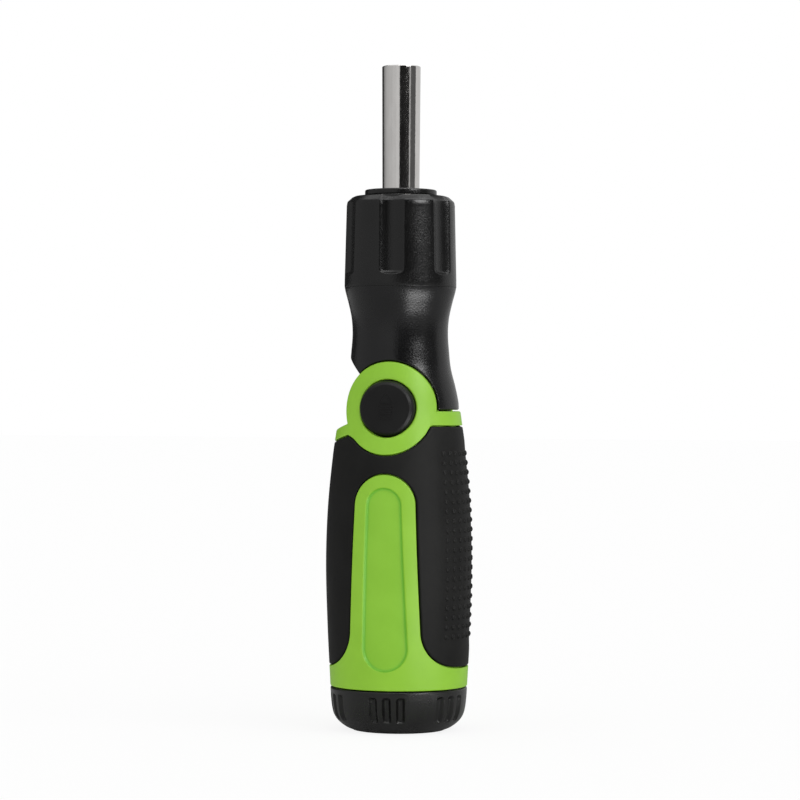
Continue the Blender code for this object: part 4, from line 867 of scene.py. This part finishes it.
def collar_shape(angle, radius, height):
    """Six hollow flutes with a rounded lower end and soft edges."""
    step = 2 * math.pi / FLUTES
    turn = (angle - COLLAR_TURN + step / 2) % step - step / 2
    across = radius * np.sin(turn) / FLUTE_HALF_WIDTH
    below = np.maximum((FLUTE_BOTTOM_Z + FLUTE_END) - height, 0.0) / FLUTE_END
    hollow = 1 - across ** 2 - below ** 3
    room = np.sqrt(hollow ** 2 + FLUTE_SOFT ** 2)
    depth = (FLUTE_DEPTH + radius - radius * np.cos(turn)) * 0.5 * (hollow + room)
    fade = smoothstep((height - (FLUTE_BOTTOM_Z - 0.9)) / 0.6) * smoothstep((1.45 - np.abs(across)) / 0.3)
    outer = (height < COLLAR_TOP_Z - 1e-6) & (radius > SIDE_RADIUS)
    return np.where(outer, np.maximum(radius - depth * fade, FLUTE_FLOOR), radius)


def collar_side_radius(z):
    """Radius of the collar's side, which widens a little downwards."""
    return 14.6 + 0.5 * (1 - (z - 120.9) / 21.0)


collar_rim = rounded(
    [(12.4, COLLAR_TOP_Z), (13.05, COLLAR_TOP_Z - 0.25), (14.45, COLLAR_TOP_Z - 1.5),
     (14.63, COLLAR_TOP_Z - 2.6)], 0.9, 4)
side_heights = np.concatenate([
    np.linspace(COLLAR_TOP_Z - 2.9, FLUTE_BOTTOM_Z + 3.0, 24),
    np.linspace(FLUTE_BOTTOM_Z + 2.85, FLUTE_BOTTOM_Z - 0.8, 26)])
collar_rows = [
    (COLLAR_BORE, COLLAR_LIP_Z), (COLLAR_LIP_BORE, COLLAR_LIP_Z), (COLLAR_LIP_BORE, COLLAR_TOP_Z),
    (COLLAR_BORE, COLLAR_TOP_Z)]
collar_rows += [tuple(point) for point in collar_rim]
collar_rows += [(collar_side_radius(z), z) for z in side_heights]
collar_rows += [
    (15.09, 121.2), (15.1, 120.5), (15.1, 119.4), (15.07, COLLAR_Z), (12.3, COLLAR_Z),
    (COLLAR_BORE, COLLAR_Z + 0.2), (COLLAR_BORE, COLLAR_LIP_Z)]
collar = lathe("selector_collar_shown", collar_rows, satin_black, 384, sharp_deg=50.0, shape=collar_shape)
place_piece(collar, "selector_collar", "selector")

nose_rows = rounded(
    [(5.5, 141.8), (5.5, NOSE_TOP_Z), (9.7, NOSE_TOP_Z), (9.7, 144.1), (8.0, 144.1), (8.0, 141.8),
     (5.5, 141.8)],
    [0.25, 0.5, 0.25, 0.0, 0.0], 4)
nose = lathe("nose_ring_shown", nose_rows, satin_black, 128)
place_piece(nose, "nose_ring", "head")

HEX_APOTHEM = 3.25
HEX_CORNER = 3.72            # radius at which the hexagon's corners are cut round
TUBE_RADIUS = 5.0
TUBE_FLARE = 0.2             # how much wider the tube is at its tip
TIP_ROUND = 0.3
CIRCLIP_SEAT = 4.4           # the shaft's radius under the circlip


def socket_shape(angle, radius, height):
    """Rows at the apothem become a hexagon with slightly rounded corners."""
    turn = (angle + math.pi / 6) % (math.pi / 3) - math.pi / 6
    hexagon = np.minimum(HEX_APOTHEM / np.cos(turn), HEX_CORNER)
    return np.where(np.abs(radius - HEX_APOTHEM) < 1e-6, hexagon, radius)


socket_rows = [
    (0.0, 157.7), (3.0, 157.7), (3.0, 163.0), (HEX_APOTHEM, 163.0), (HEX_APOTHEM, 168.0),
    (HEX_APOTHEM, 172.35), (4.25, 172.35), (4.25, 173.65), (HEX_APOTHEM, 173.65), (HEX_APOTHEM, 176.0),
    (HEX_APOTHEM, 178.2), (4.19, TIP_Z - 0.05), (4.3, TIP_Z)]
tip_rows = [
    (TUBE_RADIUS + TUBE_FLARE - TIP_ROUND * (1 - math.sin(a)), TIP_Z - TIP_ROUND * (1 - math.cos(a)))
    for a in np.linspace(0, math.pi / 2, 7)]
tube_rows = [
    (TUBE_RADIUS + TUBE_FLARE * (z - NOSE_TOP_Z) / (TIP_Z - NOSE_TOP_Z), z)
    for z in np.linspace(178.2, NOSE_TOP_Z, 24)]
shaft_rows = [
    (TUBE_RADIUS, 134.6), (CIRCLIP_SEAT, 134.6), (CIRCLIP_SEAT, 133.2), (TUBE_RADIUS, 133.2),
    (TUBE_RADIUS, 124.3), (6.0, 124.3), (6.0, 122.6), (3.0, 122.6), (3.0, 114.7), (2.7, 114.4), (0.0, 114.4)]
holder = lathe(
    "bit_holder_shown", socket_rows + tip_rows + tube_rows + shaft_rows, chrome, 96, sharp_deg=35.0,
    shape=socket_shape)
place_piece(holder, "bit_holder", "shaft")


# End cap

GROOVE_TOP_Z = 10.0
GROOVE_BOTTOM_Z = 2.9
GROOVE_HALF_WIDTH = 1.12
GROOVE_CORNER = 0.7
GROOVE_DEPTH = 1.1
GROOVE_EDGE = 0.1            # how far the hollow's rim runs out
GROOVE_PITCH_DEG = 12.0
GROUP_DEG = 60.0             # from one group of grooves to the next
CAP_TURN_DEG = 2.4           # how far the closed cap stands past the middle
CAP_TOP_Z = SEAM_Z - GAP
CAP_ROUND = 0.4
CAP_CORE_DEPTH = 1.7
CAP_CORE_FOOT_Z = 0.5
CAP_CORE_CLEAR = 0.15


def cap_shape(angle, radius, height):
    """Six groups of three upright finger grooves."""
    degrees = np.degrees(angle) - CAP_TURN_DEG
    group = (degrees + GROUP_DEG / 2) % GROUP_DEG - GROUP_DEG / 2
    nearest = np.clip(np.round(group / GROOVE_PITCH_DEG), -1, 1) * GROOVE_PITCH_DEG
    across = np.abs(radius * np.sin(np.radians(group - nearest))) - (GROOVE_HALF_WIDTH - GROOVE_CORNER)
    middle = (GROOVE_TOP_Z + GROOVE_BOTTOM_Z) / 2
    half = (GROOVE_TOP_Z - GROOVE_BOTTOM_Z) / 2
    along = np.abs(height - middle) - (half - GROOVE_CORNER)
    corner = np.hypot(np.maximum(across, 0), np.maximum(along, 0))
    inwards = GROOVE_CORNER - np.maximum(corner, np.maximum(across, along))
    outer = (height < CAP_TOP_Z - 0.5) & (height > 0.05) & (radius > SIDE_RADIUS)
    rise = 1 - np.clip((inwards + GROOVE_EDGE) / GROOVE_HALF_WIDTH, 0.0, 1.0)
    fade = smoothstep((height - (GROOVE_BOTTOM_Z - 0.3)) / 1.5)
    return np.where(outer, radius - GROOVE_DEPTH * fade * (1 - rise ** 2.0), radius)


cap_rim_radius = float(cap_form(CAP_TOP_Z - CAP_ROUND))
cap_rows = [(15.2, CAP_TOP_Z - 0.06), (18.0, CAP_TOP_Z - 0.02)]
cap_rows += [
    (cap_rim_radius - CAP_ROUND * (1 - math.sin(a)), CAP_TOP_Z - CAP_ROUND * (1 - math.cos(a)))
    for a in np.linspace(0.1, math.pi / 2, 6)]
side_heights = np.concatenate([
    np.linspace(CAP_TOP_Z - 0.7, GROOVE_TOP_Z + 0.4, 3),
    np.linspace(GROOVE_TOP_Z + 0.2, GROOVE_TOP_Z - 1.4, 16),
    np.linspace(GROOVE_TOP_Z - 1.8, GROOVE_BOTTOM_Z + 1.6, 8),
    np.linspace(GROOVE_BOTTOM_Z + 1.4, 0.25, 30)])
cap_rows += [(float(cap_form(z)), z) for z in side_heights]
cap_rows += [(12.4, 0.08), (12.0, 0.0), (11.0, 0.0), (10.6, 0.3), (0.0, 0.3)]
cap_skin = lathe("cap_skin", cap_rows, cap_black, 720, sharp_deg=50.0, shape=cap_shape)
# The cap's inner part stays just clear of the skin's foot and rim
core = inner_copy("cap_core", "end_cap", cap_form, CAP_CORE_DEPTH, cap_black, high=CAP_TOP_Z + 0.01)
for vertex in core.data.vertices:
    vertex.co.z = max(vertex.co.z, CAP_CORE_FOOT_Z * MM)
    if abs(vertex.co.z - CAP_TOP_Z * MM) < 1e-6:
        vertex.co.z -= CAP_CORE_CLEAR * MM
cap = join("end_cap_shown", [core, cap_skin])
place_piece(cap, "end_cap", "cap")


# Button and back cover

STEM_END_Y = -7.7
button_rows = rounded(
    [(0.0, BUTTON_FACE_Y), (6.3, BUTTON_FACE_Y - 0.05), (7.05, BUTTON_FACE_Y - 0.55),
     (BUTTON_RADIUS, BUTTON_FACE_Y - 1.5), (BUTTON_RADIUS, 12.0), (8.4, 12.0), (8.4, 10.8), (3.0, 10.8),
     (3.0, STEM_END_Y), (1.3, STEM_END_Y), (1.3, 1.3), (0.0, 1.3)],
    [0.5, 0.5, 0.5, 0.0, 0.2, 0.2, 0.0, 0.0, 0.0, 0.0], 6)
button_body = lathe("button_body", button_rows, button_black, 128, along_y=True)


def raised_mark(name, outline, height=0.2, edge=0.12):
    """Low plate with sloping sides on the button's face."""
    outline = np.array(outline, float)
    middle = outline.mean(axis=0)
    away = outline - middle
    inner = middle + away * (1 - edge / np.linalg.norm(away, axis=1)[:, None])
    count = len(outline)
    base = 0.03 - BUTTON_FACE_Y
    vertices = [(x, base, PIVOT_Z + z) for x, z in outline]
    vertices += [(x, base - height, PIVOT_Z + z) for x, z in inner]
    faces = [(k, (k + 1) % count, count + (k + 1) % count, count + k) for k in range(count)]
    faces.append(tuple(range(count, 2 * count)))
    return add_mesh(name, vertices, faces, button_black, 30.0)


MARK_HALF_WIDTH = 1.7
BAR_HALF_HEIGHT = 0.3
marks = [raised_mark("mark_triangle", [(-MARK_HALF_WIDTH, 1.4), (MARK_HALF_WIDTH, 1.4), (0.0, 3.9)])]
for index, z in enumerate((0.4, -1.0, -2.4)):
    low = z - BAR_HALF_HEIGHT
    high = z + BAR_HALF_HEIGHT
    bar = [(-MARK_HALF_WIDTH, low), (MARK_HALF_WIDTH, low), (MARK_HALF_WIDTH, high), (-MARK_HALF_WIDTH, high)]
    marks.append(raised_mark(f"mark_bar_{index + 1}", bar))
button = join("pivot_button_shown", [button_body] + marks)
place_piece(button, "pivot_button", "button")

cover_rows = rounded(
    [(0.0, -14.8), (8.6, -14.8), (8.6, -12.4), (9.4, -12.4), (9.4, -16.6), (7.4, -16.6), (7.0, -16.35),
     (0.0, -16.35)],
    [0.0, 0.2, 0.2, 0.8, 0.3, 0.3], 5)
cover = lathe("pivot_cover_back_shown", cover_rows, button_black, 128, along_y=True)
place_piece(cover, "pivot_cover_back", "handle")


# Finishes of the frame's own pieces

finishes = {
    "green_plastic": green, "black_rubber": rubber, "black_plastic": satin_black, "chrome": chrome,
    "steel": steel, "bronze": bronze}
slot_of = {row["node"]: row["material_slot"] for row in frame["record"]["subparts"]}
for node, obj in frame["nodes"].items():
    if node in dressed:
        continue
    for slot in obj.material_slots:
        slot.material = finishes[slot_of[node]]


# Stage, light and camera

WORLD_LEVEL = 0.5            # strength of the world's light on the object
CAMERA_AZIMUTH_DEG = 12.8    # how far the camera stands round from the front towards +X

azimuth = math.radians(CAMERA_AZIMUTH_DEG)
towards = np.array([math.sin(azimuth), -math.cos(azimuth)])
sideways = np.array([math.cos(azimuth), math.sin(azimuth)])


def level_direction(beta):
    """Level direction at an angle from the camera's, positive to the viewer's right."""
    return towards * math.cos(beta) + sideways * math.sin(beta)


def empty_tree(owner):
    """Node tree of a material or world, without its first nodes."""
    owner.use_nodes = True
    owner.node_tree.nodes.clear()
    return owner.node_tree


def studio_world():
    """White for the camera, gloss and glass, and a softer level for the light on the object."""
    world = bpy.data.worlds.new("studio")
    bpy.context.scene.world = world
    tree = empty_tree(world)
    path = add_node(tree, "LightPath").outputs
    seen = add_node(tree, "Math", {0: path["Is Camera Ray"], 1: path["Is Glossy Ray"]}, "MAXIMUM")
    seen = add_node(tree, "Math", {0: seen.outputs[0], 1: path["Is Transmission Ray"]}, "MAXIMUM")
    light = add_node(tree, "Background", {"Color": WHITE, "Strength": WORLD_LEVEL})
    white = add_node(tree, "Background", {"Color": WHITE, "Strength": 1.0})
    mix = add_node(tree, "MixShader", {0: seen.outputs[0], 1: light.outputs[0], 2: white.outputs[0]})
    add_node(tree, "OutputWorld", {"Surface": mix.outputs[0]})


studio_world()


def card_material(name, strength):
    """Even grey glow."""
    material = bpy.data.materials.new(name)
    tree = empty_tree(material)
    glow = add_node(tree, "Emission", {"Color": (strength, strength, strength, 1), "Strength": 1.0})
    add_node(tree, "OutputMaterial", {"Surface": glow.outputs[0]})
    return material


def make_card(name, start_deg, end_deg, count, low, high, strength):
    """Curved band between two rings (distance, height), seen in the object's gloss only.

    It runs between two angles from the camera's direction, positive to the viewer's right.
    """
    turns = np.radians(np.linspace(start_deg, end_deg, count))
    vertices = []
    for beta in turns:
        flat = level_direction(beta)
        for distance, height in (low, high):
            vertices.append((flat[0] * distance, flat[1] * distance, height))
    faces = [(2 * k, 2 * k + 1, 2 * k + 3, 2 * k + 2) for k in range(len(turns) - 1)]
    card = add_mesh(name, vertices, faces, card_material(name + "_glow", strength))
    card.visible_camera = False
    card.visible_diffuse = False
    card.visible_transmission = False
    card.visible_shadow = False
    card.visible_volume_scatter = False


# Upright cards all round the object: from, to (degrees), strength
CARDS = [
    (-180, -128, 0.04), (-128, -115, 0.27), (-115, -104, 0.35), (-104, -94, 0.41), (-94, -80, 0.45),
    (-80, -55, 0.48), (-55, -30, 0.52), (-30, -10, 0.57), (-10, 50, 0.012), (50, 58, 0.42),
    (58, 97, 0.09), (97, 180, 0.58)]
CARD_FOOT = (1400.0, -300.0)      # distance, height
CARD_TOP = (1400.0, 1500.0)
CARD_STEP_DEG = 3
for number, (start, end, strength) in enumerate(CARDS):
    count = max(2, int(abs(end - start) / CARD_STEP_DEG))
    make_card(f"card_{number + 1}", start, end, count, CARD_FOOT, CARD_TOP, strength)
make_card("card_high", 33, 57, 8, (1200.0, 455.0), (1100.0, 900.0), 10.0)
make_card("card_low", 16, 66, 12, (120.0, 0.6), (250.0, 0.6), 8.0)
make_card("card_above", -30, 120, 20, (700.0, 1200.0), (430.0, 1350.0), 4.5)


def add_sun(name, beta_deg, elevation_deg, strength, angle_deg):
    """Soft sun at an angle from the camera's direction, positive to the viewer's right."""
    elevation = math.radians(elevation_deg)
    flat = level_direction(math.radians(beta_deg))
    source = Vector((flat[0] * math.cos(elevation), flat[1] * math.cos(elevation), math.sin(elevation)))
    lamp = bpy.data.lights.new(name, "SUN")
    lamp.energy = strength
    lamp.angle = math.radians(angle_deg)
    obj = bpy.data.objects.new(name, lamp)
    obj.rotation_euler = source.to_track_quat("Z", "Y").to_euler()
    obj.visible_glossy = False
    bpy.context.scene.collection.objects.link(obj)


add_sun("key", 46, 14, 1.26, 70)
add_sun("fill", -45, 4, 0.57, 70)

FLOOR_SHADE = 0.68           # the floor's own shade, but for the camera
FLOOR_SHADE_SEEN = 0.2       # its shade for the camera, which keeps the shadow
FLOOR_GLOW_SEEN = 0.86       # its glow for the camera
FLOOR_GLOW_DIFFUSE = 0.3     # its glow in the light on the object
FLOOR_HALF = 6000.0


def floor_material():
    """White to the camera but for the object's shadow."""
    material = bpy.data.materials.new("white_floor")
    tree = empty_tree(material)
    path = add_node(tree, "LightPath").outputs
    shade = add_node(tree, "MapRange", {
        "Value": path["Is Camera Ray"], "To Min": FLOOR_SHADE, "To Max": FLOOR_SHADE_SEEN})
    diffuse = add_node(tree, "BsdfDiffuse", {"Color": shade.outputs["Result"]})
    shown = add_node(tree, "Math", {0: path["Is Camera Ray"], 1: FLOOR_GLOW_SEEN}, "MULTIPLY")
    strength = add_node(
        tree, "Math", {0: path["Is Diffuse Ray"], 1: FLOOR_GLOW_DIFFUSE, 2: shown.outputs[0]}, "MULTIPLY_ADD")
    glow = add_node(tree, "Emission", {"Color": WHITE, "Strength": strength.outputs[0]})
    both = add_node(tree, "AddShader", {0: diffuse.outputs[0], 1: glow.outputs[0]})
    add_node(tree, "OutputMaterial", {"Surface": both.outputs[0]})
    return material


floor_corners = [(FLOOR_HALF * x, FLOOR_HALF * y, 0) for x, y in ((-1, -1), (1, -1), (1, 1), (-1, 1))]
floor = add_mesh("floor", floor_corners, [(0, 1, 2, 3)], floor_material())

CAMERA_DISTANCE = 0.8        # metres
CAMERA_HEIGHT = 0.0889       # metres
CAMERA_ROLL_DEG = 0.25
VIEW_HALF_WIDTH = 400 / 3.7 * MM      # half of 800 pixels, with 3.7 pixels for each millimetre

camera_data = bpy.data.cameras.new("camera")
camera_data.sensor_fit = "HORIZONTAL"
camera_data.angle = 2 * math.atan(VIEW_HALF_WIDTH / CAMERA_DISTANCE)
camera_data.clip_start = 0.01
camera_data.clip_end = 100.0
camera = bpy.data.objects.new("camera", camera_data)
camera_place = Vector((towards[0] * CAMERA_DISTANCE, towards[1] * CAMERA_DISTANCE, CAMERA_HEIGHT))
facing = Vector((towards[0], towards[1], 0.0)).to_track_quat("Z", "Y").to_matrix().to_4x4()
roll = Matrix.Rotation(math.radians(CAMERA_ROLL_DEG), 4, "Z")
camera.matrix_world = Matrix.Translation(camera_place) @ facing @ roll
bpy.context.scene.collection.objects.link(camera)
bpy.context.scene.camera = camera
bpy.context.scene.view_settings.view_transform = "Standard"
